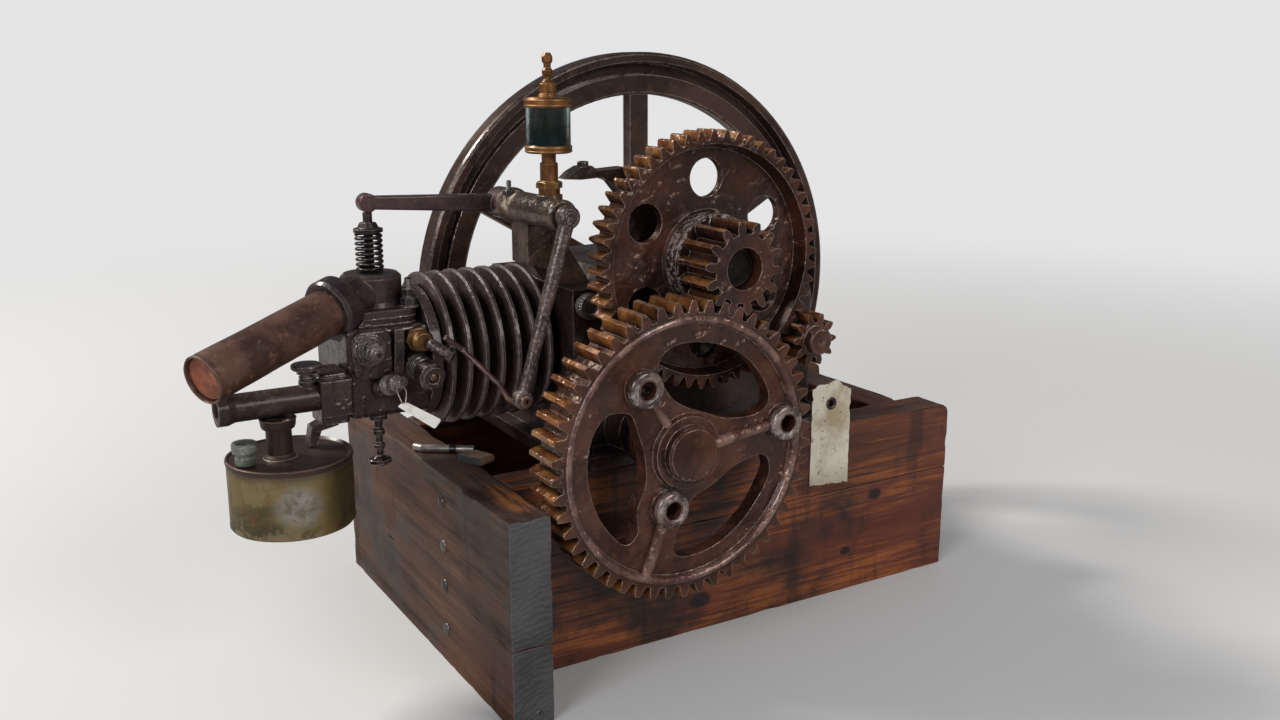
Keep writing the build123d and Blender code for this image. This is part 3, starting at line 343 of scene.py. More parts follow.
class Form:
    # Points in millimetres and the faces between them
    def __init__(self):
        self.points, self.faces = [], []

    def take(self, points, faces):
        first = len(self.points)
        self.points += [Vector(p) for p in points]
        self.faces += [[first + i for i in face] for face in faces]
        return self

    def turned(self, base, way, profile, count=40, bend=None):
        # Profile pairs are distance along the way and radius; a radius of 0 closes an end
        way, side, other = sideways(way)
        points, rows = [], []
        for far, radius in profile:
            row = []
            for k in range(1 if radius == 0 else count):
                angle = 2 * pi * k / count
                out = side * cos(angle) + other * sin(angle)
                here = Vector(base) + way * far + out * radius
                row.append(len(points))
                points.append(here - out * bend(here) if bend and radius else here)
            rows.append(row)
        faces = []
        for near, after in zip(rows, rows[1:]):
            for k in range(count):
                a, b = near[k % len(near)], near[(k + 1) % len(near)]
                c, d = after[(k + 1) % len(after)], after[k % len(after)]
                face = [a] + ([b] if b != a else []) + [c] + ([d] if d != c else [])
                if len(face) > 2:
                    faces.append(face)
        return self.take(points, faces)

    def hexagon(self, base, way, across, high, turn=0.0, count=48):
        # Six flats with the corners taken off by a cone
        way, side, other = sideways(way)
        flat = across / 2
        points = []
        for ring in range(4):
            for k in range(count):
                angle = 2 * pi * k / count
                corner = flat / cos((angle % (pi / 3)) - pi / 6)
                radius = (corner, corner, flat * 0.96, flat * 0.4)[ring]
                far = (0, high - 0.55 * (corner - flat) - 0.3, high, high)[ring]
                out = side * cos(angle + turn) + other * sin(angle + turn)
                points.append(Vector(base) + way * far + out * radius)
        return self.take(points, ringFaces(3, count))

    def thread(self, base, way, radius, long, pitch=1.25):
        profile = [(0, radius * 0.85)]
        for k in range(int(long / pitch)):
            low = k * pitch
            profile += [(low + 0.3 * pitch, radius), (low + 0.6 * pitch, radius), (low + pitch, radius * 0.84)]
        far = profile[-1][0]
        return self.turned(base, way, profile + [(far + 0.6, radius * 0.7), (far + 0.6, 0)], 20)

    def bolt(self, base, way, across=13, high=7, turn=0.3, stud=0.0, washer=True):
        base, way = Vector(base), Vector(way).normalized()
        if washer:
            self.turned(base, way, ((0, across * 0.72), (0.8, across * 0.74), (1.3, across * 0.7), (1.3, 0)), 32)
            base = base + way * 1.2
        self.hexagon(base, way, across, high, turn)
        if stud:
            self.thread(base + way * (high - 1), way, across * 0.27, stud + 1)
        else:
            self.turned(base + way * (high - 0.1), way, ((0, across * 0.42), (0.3, across * 0.3), (0.4, 0)), 24)
        return self

    def bar(self, path, thick, thin, count=16, steps=8):
        # Round bar along a smooth curve through the given points, of one radius at its start and one at its end
        path = [Vector(p) for p in path]
        smooth = []
        for k in range(len(path) - 1):
            a, b = path[max(k - 1, 0)], path[k]
            c, d = path[k + 1], path[min(k + 2, len(path) - 1)]
            for step in range(steps):
                t = step / steps
                curve = 2 * b + (c - a) * t + (2 * a - 5 * b + 4 * c - d) * t * t
                smooth.append(0.5 * (curve + (3 * b - a - 3 * c + d) * t ** 3))
        smooth.append(path[-1])
        rows, points, faces = [], [], []
        side = None
        for k, here in enumerate(smooth):
            way = (smooth[min(k + 1, len(smooth) - 1)] - smooth[max(k - 1, 0)]).normalized()
            if side is None:
                side = way.orthogonal().normalized()
            side = (side - way * side.dot(way)).normalized()
            other = way.cross(side)
            wide = thick + (thin - thick) * (k / (len(smooth) - 1))
            rows.append(len(points))
            for j in range(count):
                angle = 2 * pi * j / count
                points.append(here + (side * cos(angle) + other * sin(angle)) * wide)
        for a, b in zip(rows, rows[1:]):
            for j in range(count):
                i = (j + 1) % count
                faces.append([a + j, a + i, b + i, b + j])
        faces.append([rows[0] + j for j in reversed(range(count))])
        faces.append([rows[-1] + j for j in range(count)])
        return self.take(points, faces)

    def slab(self, outline, normal, thick):
        # Flat plate from its outline, with a slight bevel round both faces
        normal = Vector(normal).normalized()
        outline = [Vector(p) for p in outline]
        middle = sum(outline, Vector()) / len(outline)
        count = len(outline)
        points = []
        for shrink, up in ((0.93, 0), (1, 0.25), (1, 0.75), (0.93, 1)):
            points += [middle + (p - middle) * shrink + normal * thick * up for p in outline]
        ends = [list(reversed(range(count))), list(range(3 * count, 4 * count))]
        return self.take(points, ends + ringFaces(3, count))

    def build(self, name, finish, body="frame", sharp=35.0):
        mesh = bpy.data.meshes.new(name)
        mesh.from_pydata([p / perMetre for p in self.points], [], self.faces)
        mesh.validate()
        made = added(name, mesh)
        bpy.context.view_layer.objects.active = made
        mesh.polygons.foreach_set("use_smooth", [True] * len(mesh.polygons))
        mesh.set_sharp_from_angle(angle=radians(sharp))
        mesh.materials.append(finishes[finish].material)
        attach(made, body)
        return made


def coat(finish, *nodes):
    for name in nodes:
        made = frame["nodes"][name]
        for place in made.material_slots:
            place.material = finishes[finish].material
        made.data.set_sharp_from_angle(angle=radians(bodySharp))


def dress(make, base, table):
    # Each row: the solids, the dark and the brown tone, and what differs from the base look
    for name, (nodes, dark, brown, changes) in table.items():
        make(name, SimpleNamespace(**{**base, "dark": dark, "brown": brown, **changes}))
        coat(name, *nodes.split())


# Iron finishes, each with the solids that it is for
# The pale edge colour is rubbed metal and a painted highlight; the near-black hollow colour is dirt and painted shade
caseLook = {
    "slot": "oily_iron", "rust": (0.1, 0.045, 0.028), "dirt": (0.004, 0.003, 0.003), "bare": (0.46, 0.39, 0.36),
    "patch": 38, "speck": 5, "sand": 1.1, "round": 1.6, "dirtReach": 14, "dirtShare": 0.75, "speckShare": 0.3,
    "rubShare": 0.5, "wetSize": 45, "wetShare": 0.6, "wetRough": 0.12, "rough": 0.34, "metal": 0.08, "bump": 0.7,
    "lump": 6, "lumpHigh": 1.2, "shine": 0.45, "shineTint": (1.0, 0.82, 0.74), "patchFade": (0.42, 0.64),
    "speckFade": (0.56, 0.7), "rubFade": (0.32, 0.56), "dirtFade": (0.3, 0.85), "wetFade": (0.36, 0.56),
    "lumpFade": (0.36, 0.8), "swellShare": 0.6, "sandHigh": 0.3, "swellHigh": 1.8, "speckHigh": 0.5,
    "speckRough": 0.25, "wetSmooth": 0.25, "rubSmooth": 0.1, "rubMetal": 0.45}
crankPlace, idlerPlace, pumpPlace = (frame["joints"][k]["pos_m"] for k in (0, 1, 2))
# Amber grease tone for the teeth: grease, laid strongest on up-facing flanks as painted light
gearLook = {
    **caseLook, "slot": "gear_iron", "rust": (0.15, 0.055, 0.026), "bare": (0.58, 0.45, 0.39),
    "grease": (0.17, 0.052, 0.013), "greaseLight": (0.34, 0.14, 0.035), "greaseShare": 0.78, "round": 1.2,
    "patch": 26, "dirtShare": 0.9, "rubShare": 0.85, "rough": 0.3, "wetShare": 0.7, "wetSize": 34, "bump": 0.8,
    "lump": 8, "lumpHigh": 2.6, "shineTint": (1.0, 0.7, 0.58)}
dress(castFinish, caseLook, {
    "caseIron": ("crankcase", (0.014, 0.009, 0.008), (0.04, 0.022, 0.017), {}),
    "headIron": (
        "cylinder_head igniter mixer needle_knob tank_strap drain_rod", (0.009, 0.006, 0.006), (0.032, 0.019, 0.017),
        {"rust": (0.09, 0.05, 0.034), "bare": (0.5, 0.45, 0.45), "rubShare": 0.85, "rough": 0.28, "lump": 4.5,
         "lumpHigh": 1.6}),
    "chestIron": ("valve_chest", (0.016, 0.011, 0.013), (0.048, 0.031, 0.034), {
        "rubShare": 0.35, "rough": 0.42, "wetShare": 0.4, "bump": 0.45}),
    # The idler stud's end, deep in the bore, painted near black as painted shade of the bore
    "shadedBoreIron": ("idler_stud", (0.005, 0.004, 0.004), (0.014, 0.008, 0.007), {
        "wetShare": 0.15, "rough": 0.5, "shine": 0.2}),
    "tubeIron": ("rocker_bearing", (0.03, 0.017, 0.012), (0.085, 0.048, 0.032), {
        "rust": (0.16, 0.1, 0.065), "bare": (0.52, 0.44, 0.38), "patch": 20, "speck": 3.5, "lump": 4,
        "dab": ((0.0625, -0.047, 0.416), 0.02, 0.004, (0.4, 0.33, 0.25))}),
    "pipeIron": ("air_intake", (0.022, 0.014, 0.012), (0.055, 0.034, 0.028), {
        "patch": 14, "speck": 3, "speckShare": 0.5, "wetShare": 0.2, "rough": 0.42, "bump": 0.5}),
    "finIron": ("cylinder", (0.032, 0.02, 0.02), (0.07, 0.042, 0.04), {
        "bare": (0.62, 0.55, 0.52), "round": 1.0, "rubShare": 0.9, "dirtReach": 9, "dirtShare": 0.9, "wetShare": 0.35,
        "rough": 0.38, "bump": 0.45, "lump": 3.5}),
    "wheelIron": ("flywheel", (0.025, 0.013, 0.01), (0.062, 0.032, 0.023), {
        "rust": (0.12, 0.055, 0.032), "bare": (0.58, 0.48, 0.44), "patch": 60, "round": 2.0, "wetShare": 0.6,
        "rough": 0.3, "rubShare": 0.9, "dirtReach": 20, "bump": 0.45, "lumpHigh": 0.7})})
dress(castFinish, gearLook, {
    "pumpIron": ("pump_gear", (0.032, 0.012, 0.008), (0.08, 0.03, 0.019), {
        "centre": pumpPlace, "greaseFrom": (0.119, 0.127)}),
    # The idler's pale collar band is a painted highlight
    "idlerIron": ("idler_gear", (0.022, 0.009, 0.007), (0.058, 0.019, 0.011), {
        "centre": idlerPlace, "greaseFrom": (0.103, 0.109), "ring": (0.0385, 0.0395, 0.0445, 0.0455),
        "ringFront": (-0.1555, -0.155), "ringBack": (-0.14, -0.141), "ringTone": (0.44, 0.38, 0.35),
        "toothFrom": (0.029, 0.034, 0.042, 0.043), "toothBack": (-0.156, -0.159)}),
    # Ribs and bead: the gear's iron painted lighter, a painted highlight
    "litRibIron": ("", (0.1, 0.05, 0.04), (0.26, 0.155, 0.125), {
        "bare": (0.84, 0.77, 0.73), "round": 2.2, "dirtReach": 5, "dirtShare": 0.5, "lump": 5, "lumpHigh": 1.6,
        "patch": 12, "wetShare": 0.95, "metal": 0.35, "rough": 0.26}),
    "pinionIron": ("crank_pinion", (0.032, 0.012, 0.008), (0.08, 0.03, 0.019), {
        "centre": crankPlace, "greaseFrom": (0.013, 0.022)})})
print("iron finishes made")

steelLook = {
    "slot": "steel", "bright": (0.62, 0.56, 0.53), "patch": 14, "speck": 1.6, "brightFrom": 0.58, "brightShare": 0.5,
    "rubShare": 0.8, "round": 0.8, "rough": 0.3, "metal": 0.7, "coat": 0.5, "bump": 0.2, "patchFade": (0.4, 0.62),
    "brightFade": 0.12, "patchRough": 0.2, "brightSmooth": 0.12, "coatRough": 0.2, "patchHigh": 0.5}
brassLook = {
    **steelLook, "slot": "brass", "bright": (0.72, 0.46, 0.2), "patch": 7, "brightShare": 0.22, "rubShare": 0.7,
    "metal": 0.75, "coat": 0.3}
dress(turnedSteelFinish, steelLook, {
    "oilySteel": (
        "crankshaft pump_shaft igniter_terminal spring_housing trip_bar", (0.03, 0.022, 0.021), (0.075, 0.05, 0.042),
        {}),
    "brightSteel": ("deck_rod", (0.26, 0.22, 0.2), (0.42, 0.37, 0.34), {
        "brightFrom": 0.5, "brightShare": 0.3, "metal": 0.6, "rough": 0.34, "bump": 0.03, "speck": 4}),
    "nutSteel": ("", (0.055, 0.045, 0.043), (0.14, 0.115, 0.11), {"metal": 0.5, "round": 0.5, "brightShare": 0.3}),
    "rodSteel": ("trip_rod", (0.06, 0.026, 0.018), (0.13, 0.06, 0.04), {"brightShare": 0.3, "metal": 0.5}),
    "leverSteel": ("steel_elbow push_lever", (0.055, 0.038, 0.034), (0.13, 0.085, 0.072), {
        "speck": 1.1, "brightFrom": 0.5, "brightShare": 0.4, "rubShare": 0.5, "bump": 0.12}),
    "rockerSteel": ("rocker_arm", (0.035, 0.017, 0.018), (0.075, 0.036, 0.036), {
        "brightShare": 0.15, "metal": 0.4, "rubShare": 0.6}),
    "springSteel": ("exhaust_valve", (0.02, 0.015, 0.015), (0.05, 0.036, 0.034), {
        "brightShare": 0.2, "rubShare": 0.4}),
    "headSteel": ("", (0.022, 0.017, 0.018), (0.055, 0.042, 0.042), {
        "brightShare": 0.35, "rubShare": 0.9, "round": 0.5, "metal": 0.6}),
    # Boss rims: worn steel painted pale, partly as a painted highlight
    "bossSteelHighlight": ("", (0.075, 0.042, 0.034), (0.27, 0.19, 0.165), {
        "bright": (0.86, 0.82, 0.8), "brightFrom": 0.5, "brightShare": 0.35, "rubShare": 0.9, "metal": 0.5,
        "coat": 0.9, "rough": 0.2, "round": 1.6, "speck": 5, "patch": 9, "bump": 0.3}),
    "rivetSteel": ("", (0.045, 0.035, 0.034), (0.12, 0.1, 0.1), {"brightShare": 0.2, "metal": 0.4}),
    "capMetal": ("filler_cap", (0.055, 0.06, 0.048), (0.15, 0.155, 0.125), {
        "slot": "brass", "bright": (0.5, 0.52, 0.46), "brightShare": 0.5, "metal": 0.4})})
dress(turnedSteelFinish, brassLook, {
    "brassMetal": ("oiler_body", (0.13, 0.052, 0.016), (0.27, 0.108, 0.03), {}),
    "dullBrass": ("brass_fitting", (0.07, 0.032, 0.012), (0.2, 0.085, 0.02), {}),
    "yellowBrass": ("", (0.16, 0.085, 0.022), (0.34, 0.19, 0.05), {"bright": (0.78, 0.56, 0.24)})})
print("steel and brass finishes made")

# Timber boards with worn edges
boardLook = {
    "shine": 0.4, "glow": (0.34, 0.098, 0.018), "red": (0.15, 0.03, 0.014), "stain": (0.008, 0.006, 0.006),
    "top": (0.09, 0.062, 0.05), "worn": (0.24, 0.1, 0.045), "end": (0.078, 0.075, 0.078),
    "endDark": (0.04, 0.038, 0.04), "sheen": 0.3, "endEdge": (0.16, 0.16, 0.17), "glowShare": 0.7,
    "stainShare": 0.85, "stainSize": 62, "dripShare": 0.5, "topShare": 0.6, "redShare": 0.6, "wornShare": 0.4,
    "endEdgeShare": 0.6, "rubTone": (0.42, 0.15, 0.045), "grain": 0.045, "fineSize": 1.8, "streakSize": 8,
    "stripeSize": 26, "cloudySize": 75, "dripSize": 14, "round": 2.0, "rough": 0.4, "sheenRough": 0.22, "bump": 0.9,
    "rings": {"Scale": 60.0, "Distortion": 9.0, "Detail": 3.0, "Detail Scale": 1.2}}
dress(timberFinish, boardLook, {
    "beamWood": ("", (0.028, 0.009, 0.006), (0.115, 0.032, 0.012), {
        "along": 0, "heart": (0.2, -0.02, -0.05),
        "knots": (((0.215, -0.125, 0.031), 0.011), ((0.432, -0.125, 0.098), 0.008), ((0.395, -0.125, 0.043), 0.006))}),
    "sideWood": ("", (0.03, 0.017, 0.012), (0.078, 0.042, 0.029), {
        "along": 1, "heart": (0.03, 0, -0.04), "glow": (0.17, 0.078, 0.038), "red": (0.12, 0.04, 0.019),
        "top": (0.105, 0.066, 0.055), "worn": (0.2, 0.13, 0.1), "glowShare": 0.5, "stainShare": 0.75, "sheen": 0.08,
        "stainSize": 48, "shine": 0.2, "rubs": (((0.006, -0.15, 0.182), 0.016),)}),
    "crossWood": ("", (0.028, 0.009, 0.006), (0.115, 0.032, 0.012), {"along": 1, "heart": (0.5, 0, -0.04)}),
    "shimWood": ("wood_shim", (0.16, 0.09, 0.06), (0.3, 0.18, 0.12), {
        "along": 0, "heart": (0.02, 0, 0.1), "glow": (0.42, 0.22, 0.11), "top": (0.34, 0.24, 0.18),
        "stainShare": 0.3})})
boards = {
    "side_board_lower": ("sideWood", 1, 3.0), "side_board_upper": ("sideWood", 1, 17.0),
    "front_beam_lower": ("beamWood", 0, 5.0), "front_beam_upper": ("beamWood", 0, 29.0),
    "back_beam_lower": ("beamWood", 0, 41.0), "back_beam_upper": ("beamWood", 0, 59.0),
    "cross_board": ("crossWood", 1, 71.0)}
boardWear = {"step": 3.6, "stretch": 2.2, "round": 1.3, "chip": 7.0, "chipSize": 24, "hollow": 0.7,
             "corner": 14.0, "sharp": 60}


def wornBoard(name, finish, along, seed):
    # The board's box as a fine grid, with its edges rounded, chipped and slightly sunk
    low, high = (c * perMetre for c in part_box(name))
    steps = [boardWear["step"] * (boardWear["stretch"] if i == along else 1) for i in range(3)]
    count = [max(4, round((high[i] - low[i]) / steps[i])) for i in range(3)]
    cut = boardWear["corner"]
    form = Form()
    found = {}

    def worn(p):
        spot = Vector([c / boardWear["chipSize"] for c in p]) + Vector((seed, seed * 0.3, 0))
        radius = boardWear["round"] + boardWear["chip"] * max(0, noise.noise(spot) - 0.12) ** 1.3
        here = Vector(p)
        end, drop = high.x - here.x, high.z - here.z
        if "beam_upper" in name and end < cut and drop < cut:
            away = Vector((cut - end, cut - drop))
            if away.length > cut:
                away = away.normalized() * cut
                here.x = high.x - cut + away.x
                here.z = high.z - cut + away.y
        inner = Vector([min(max(here[i], low[i] + radius), high[i] - radius) for i in range(3)])
        off = here - inner
        if off.length > radius:
            here = inner + off.normalized() * radius
        pull = boardWear["hollow"] * (0.5 + 0.5 * noise.noise(spot * 1.7 + Vector((9, 9, 9))))
        if p[2] > low.z + 0.1:
            here -= off.normalized() * pull
        return here

    def corner(key):
        if key not in found:
            found[key] = len(form.points)
            form.points.append(worn([low[i] + (high[i] - low[i]) * key[i] / count[i] for i in range(3)]))
        return found[key]

    for flat in range(3):
        a, b = [i for i in range(3) if i != flat]
        for side in (0, count[flat]):
            for i in range(count[a]):
                for j in range(count[b]):
                    face = []
                    for di, dj in ((0, 0), (1, 0), (1, 1), (0, 1)):
                        key = [0, 0, 0]
                        key[flat], key[a], key[b] = side, i + di, j + dj
                        face.append(corner(tuple(key)))
                    form.faces.append(face if (side > 0) == (flat != 1) else face[::-1])
    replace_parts(form.build("worn_" + name, finish, "frame", boardWear["sharp"]), name)


for name, (finish, along, seed) in boards.items():
    wornBoard(name, finish, along, seed)
print("boards made")

# Muffler tube with a rolled rim and a sunk end disc
mufflerRustLook = {
    **caseLook, "slot": "rusty_pipe", "rust": (0.2, 0.1, 0.066), "bare": (0.4, 0.27, 0.21), "patch": 20,
    "speck": 3.2, "speckShare": 0.6, "rough": 0.36, "wetShare": 0.5, "wetRough": 0.2, "rubShare": 0.6, "round": 1.0,
    "bump": 0.45, "dirtShare": 0.5, "lumpHigh": 0.6, "shineTint": (1.0, 0.86, 0.76)}
dress(castFinish, mufflerRustLook, {
    "mufflerRust": ("", (0.048, 0.023, 0.017), (0.11, 0.055, 0.039), {}),
    "discRust": ("", (0.16, 0.045, 0.024), (0.32, 0.1, 0.05), {
        "rust": (0.36, 0.15, 0.09), "patch": 12, "wetShare": 0.1, "dirtShare": 0.7})})
mufflerLook = {
    "base": (-56, -13, 342.5), "way": (-0.869, -0.4305, -0.228),
    "tube": ((42.5, 18), (42.5, 20.5), *((44 + k * 3.4, 20.5) for k in range(39)), (178, 20.5), (180, 20.1),
             (181.5, 20.4), (184, 20.5), (185, 19.7), (185, 18.9), (184, 18.4), (180, 18.1), (120, 18), (42.5, 18)),
    "disc": ((178, 0), (178, 17.4), (180.6, 17.9), (181.4, 17.2), (181.2, 15), (180.5, 12), (180.2, 8),
             (180.3, 4), (180.2, 0)),
    "dents": ((26, 0.55), (7, 0.15))}


def dented(dents):
    # How far soft noise of these sizes and depths pushes a point in
    return lambda p: sum(deep * (0.5 + 0.5 * noise.noise(p / size)) for size, deep in dents)


tube = Form().turned(
    mufflerLook["base"], mufflerLook["way"], mufflerLook["tube"], 72, dented(mufflerLook["dents"]))
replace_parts(tube.build("rusty_muffler", "mufflerRust"), "muffler")
disc = Form().turned(mufflerLook["base"], mufflerLook["way"], mufflerLook["disc"], 64)
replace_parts(disc.build("muffler_end_disc", "discRust"), "muffler_cap")
print("muffler made")

# Valve spring with closed ends
springLook = {"radius": 10.5, "wire": 1.5, "turns": 7.5, "closed": 0.75, "steps": 10, "lift": 5.94, "gap": 0.1,
              "ease": 0.02}
springLow, springHigh = (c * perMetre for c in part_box("valve_spring"))
springMiddle = (springLow + springHigh) / 2


def springSpot(turn):
    turns, closed, wire = (springLook[k] for k in ("turns", "closed", "wire"))
    closedPitch = 2 * wire + springLook["gap"]
    low, high = springLow.z + wire, springHigh.z - wire
    share = min(max((turn - closed) / (turns - 2 * closed), 0), 1)
    height = low + min(turn, closed) * closedPitch + share * (high - low - 2 * closed * closedPitch)
    angle = 2 * pi * turn
    return (springMiddle.x + springLook["radius"] * cos(angle),
            springMiddle.y + springLook["radius"] * sin(angle),
            height + max(turn - turns + closed, 0) * closedPitch)


coilPath = [springSpot(k / springLook["steps"]) for k in range(int(springLook["turns"] * springLook["steps"]) + 1)]
wireRadius = springLook["wire"] - springLook["ease"]
coil = Form().bar(coilPath, wireRadius, wireRadius, 12).build("closed_end_spring", "springSteel")
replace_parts(coil, "valve_spring")
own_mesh(coil)
print("spring made")

# Cast bead and round ribs on the pump gear's face, painted lighter than the gear as a painted highlight, and worn rims
# on its three crank pin bosses, painted pale partly as a painted highlight
# Each rib: the pin it points at, where it starts and ends, its two radii and its depth
pumpLook = {
    "face": -198, "strokes": (50.8, 76.2, 101.6), "angles": (-111.6, 125.7, 6.7),
    "bead": ((-4, 111.2), (-1, 111.7), (0.5, 112.6), (1.4, 114), (1.7, 115.4), (1.4, 116.8), (0.5, 117.9),
             (-1, 118.3)),
    "bossRim": ((0, 16.1), (4.4, 16.1), (5.6, 15.3), (6.2, 14), (6.3, 12), (6.0, 9.4), (5.0, 8.4), (-3, 8.15)),
    "ribs": ((0, 62, 113.5, 5.2, 5, -194.6), (2, 23, 88, 5.8, 4.8, -194.4), (1, 23, 62, 4.4, 3.8, -192.8)),
    "ribSteps": 6}


def pumpSpot(angle, far, y):
    angle = radians(angle)
    return Vector((pumpPlace[0] * perMetre + far * cos(angle), y, pumpPlace[2] * perMetre + far * sin(angle)))


front = Vector((0, -1, 0))
pumpTrim = Form().turned(pumpSpot(0, 0, pumpLook["face"]), front, pumpLook["bead"], 160)
for pin, near, far, thick, thin, y in pumpLook["ribs"]:
    steps = pumpLook["ribSteps"]
    path = [pumpSpot(pumpLook["angles"][pin], near + (far - near) * k / steps, y) for k in range(steps + 1)]
    pumpTrim.bar(path, thick, thin, 24)
pumpTrim.build("pump_gear_bead_and_ribs", "litRibIron", "pump_wheel")
pinRims = Form()
for angle, stroke in zip(pumpLook["angles"], pumpLook["strokes"]):
    pinRims.turned(pumpSpot(angle, stroke, pumpLook["face"]), front, pumpLook["bossRim"], 56)
pinRims.build("crank_pin_boss_rims", "bossSteelHighlight", "pump_wheel")
print("pump gear trimmed")

# Fuel tank: soldered tin with rolled rims, dents and a funnel neck
tankLook = {
    "olive": (0.05, 0.036, 0.011), "tan": (0.14, 0.094, 0.028), "pale": (0.19, 0.145, 0.07),
    "greyDark": (0.12, 0.105, 0.08), "grey": (0.27, 0.255, 0.235), "trickle": (0.026, 0.021, 0.01),
    "rust": (0.16, 0.06, 0.018), "sideShade": (0.016, 0.016, 0.009), "lid": (0.03, 0.015, 0.013),
    "rub": (0.45, 0.27, 0.2), "greySpot": (-0.154, -0.105, 0.19), "base": (-146, -53, 161), "dents": ((30, 0.9),),
    "tin": ((1.5, 0), (1.2, 40), (1.4, 47), (0, 48.5), (0.4, 50), (2, 51.2), (4, 51.2), (5.4, 50.6),
            *((8 + k * 2.1, 51) for k in range(21)), (53, 50.6), (54.5, 51.4), (57, 51.9), (58.6, 51.4),
            (59, 50.2), (58, 49), (57, 48), (57.2, 30), (58.2, 14), (58.2, 0)),
    "neckBase": (-154, -55, 219),
    "neck": ((-1.5, 14), (0.5, 13.2), (2, 11.4), (3, 10.6), (22, 10.4), (24, 11), (25, 13.2), (27, 14),
             (31, 14.4), (33, 15), (33.4, 14.2), (31, 13), (28, 12.6), (26, 9.5), (12, 9))}


def tinFinish(look):
    # Worn olive paint, grey where it is bare, painted shade over the side towards +X and dark on the lid
    tin = Finish("tankTin", "tank_iron")
    around = tin.place()
    blotch = tin.cloud(42, 5, 0.6, warp=0.8)
    mottle = tin.cloud(13, 5, 0.68)
    fleck = tin.cloud(5, 4, 0.7)
    trickle = tin.cloud(11, 4, 0.6, tin.scaled(around, (1, 1, 0.22)))
    wall = tin.ramp(tin.axis(around, "Z"), 0.218, 0.208)
    # Painted shade over the tank's side towards +X
    shadedSide = tin.ramp(tin.axis(around, "X") + tin.cloud(30, 4, 0.6) * 0.02, -0.13, -0.106)
    corner = tin.rounded(1.2)
    grey = tin.ramp(tin.length(tin.shifted(around, look["greySpot"])) + mottle * 0.06, 0.056, 0.04)
    greyTone = tin.blend(tin.ramp(mottle, 0.42, 0.58), look["greyDark"], look["grey"])
    colour = tin.blend(tin.ramp(blotch, 0.42, 0.58), look["olive"], look["tan"])
    for share, tone in (
            (tin.ramp(mottle, 0.5, 0.6) * 0.7, look["pale"]), (grey * 0.8, greyTone),
            (tin.ramp(trickle, 0.54, 0.66) * 0.8, look["trickle"]), (tin.ramp(fleck, 0.58, 0.68) * 0.6, look["rust"]),
            (shadedSide * 0.75, look["sideShade"]), ((1 - wall) * 0.95, look["lid"]), (tin.edge(corner) * 0.6, look["rub"])):
        colour = tin.blend(share, colour, tone)
    tin.surface(
        Base_Color=colour, Roughness=0.3 + mottle * 0.3, Metallic=0.15, Coat_Weight=0.25, Coat_Roughness=0.15,
        Specular_IOR_Level=0.4, Normal=tin.bump(blotch * 1.5 + mottle * 0.8 + fleck * 0.4, 0.9, corner))


tinFinish(tankLook)
up = Vector((0, 0, 1))
tank = Form().turned(tankLook["base"], up, tankLook["tin"], 96, dented(tankLook["dents"]))
tank.turned(tankLook["neckBase"], up, tankLook["neck"], 40)
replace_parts(tank.build("soldered_tank", "tankTin"), "fuel_tank")
print("tank made")

# Oiler glass with dark oil inside, a brown painted reflection down the oil's +X side, brass rings and nut
oilerLook = {
    "glass": (0.36, 0.44, 0.42), "oil": (0.006, 0.055, 0.058), "above": (0.085, 0.06, 0.044),
    "side": (0.085, 0.045, 0.022), "x": 70, "y": -108, "oilLow": 466.7, "nutLow": 431.2,
    "oilProfile": ((0, 3.2), (0, 15.7), (29.8, 15.7), (29.8, 3.2)), "rings": (461.6, 464.8, 498.6, 502.8),
    "ringProfile": ((-1.0, 19), (-0.6, 19.7), (0, 19.9), (0.6, 19.7), (1.0, 19))}
glass = Finish("oilerGlass", "glass")
glass.surface(
    Base_Color=oilerLook["glass"], Roughness=0.02 + glass.cloud(12) * 0.05, Transmission_Weight=1.0, IOR=1.42,
    Normal=glass.bump(glass.cloud(9), 0.1))
coat("oilerGlass", "oiler_glass")
darkOil = Finish("darkOil", "glass")
oilAbove = darkOil.ramp(darkOil.axis(darkOil.place(), "Z") + darkOil.cloud(12) * 0.006, 0.48, 0.488)
# Brown painted reflection down the oil's +X side
oilSideReflection = darkOil.ramp(darkOil.axis(darkOil.place(), "X"), 0.074, 0.082)
oilColour = darkOil.blend(oilAbove, oilerLook["oil"], oilerLook["above"])
darkOil.surface(
    Base_Color=darkOil.blend(oilSideReflection * 0.8, oilColour, oilerLook["side"]), Roughness=0.12 + darkOil.cloud(8) * 0.1,
    Coat_Weight=0.5, Coat_Roughness=0.05, Normal=darkOil.bump(darkOil.cloud(14), 0.1))


def oilerSpot(z):
    return oilerLook["x"], oilerLook["y"], z


oil = Form().turned(oilerSpot(oilerLook["oilLow"]), up, oilerLook["oilProfile"], 48)
oil.build("oil_in_glass", "darkOil")
oilerNut = Form().hexagon(oilerSpot(oilerLook["nutLow"]), up, 19.5, 5.6, 0.25)
oilerNut.build("oiler_base_nut", "yellowBrass")
oilerTrim = Form()
for z in oilerLook["rings"]:
    oilerTrim.turned(oilerSpot(z), up, oilerLook["ringProfile"], 64)
oilerTrim.build("oiler_brass_trim", "brassMetal")
print("oiler made")

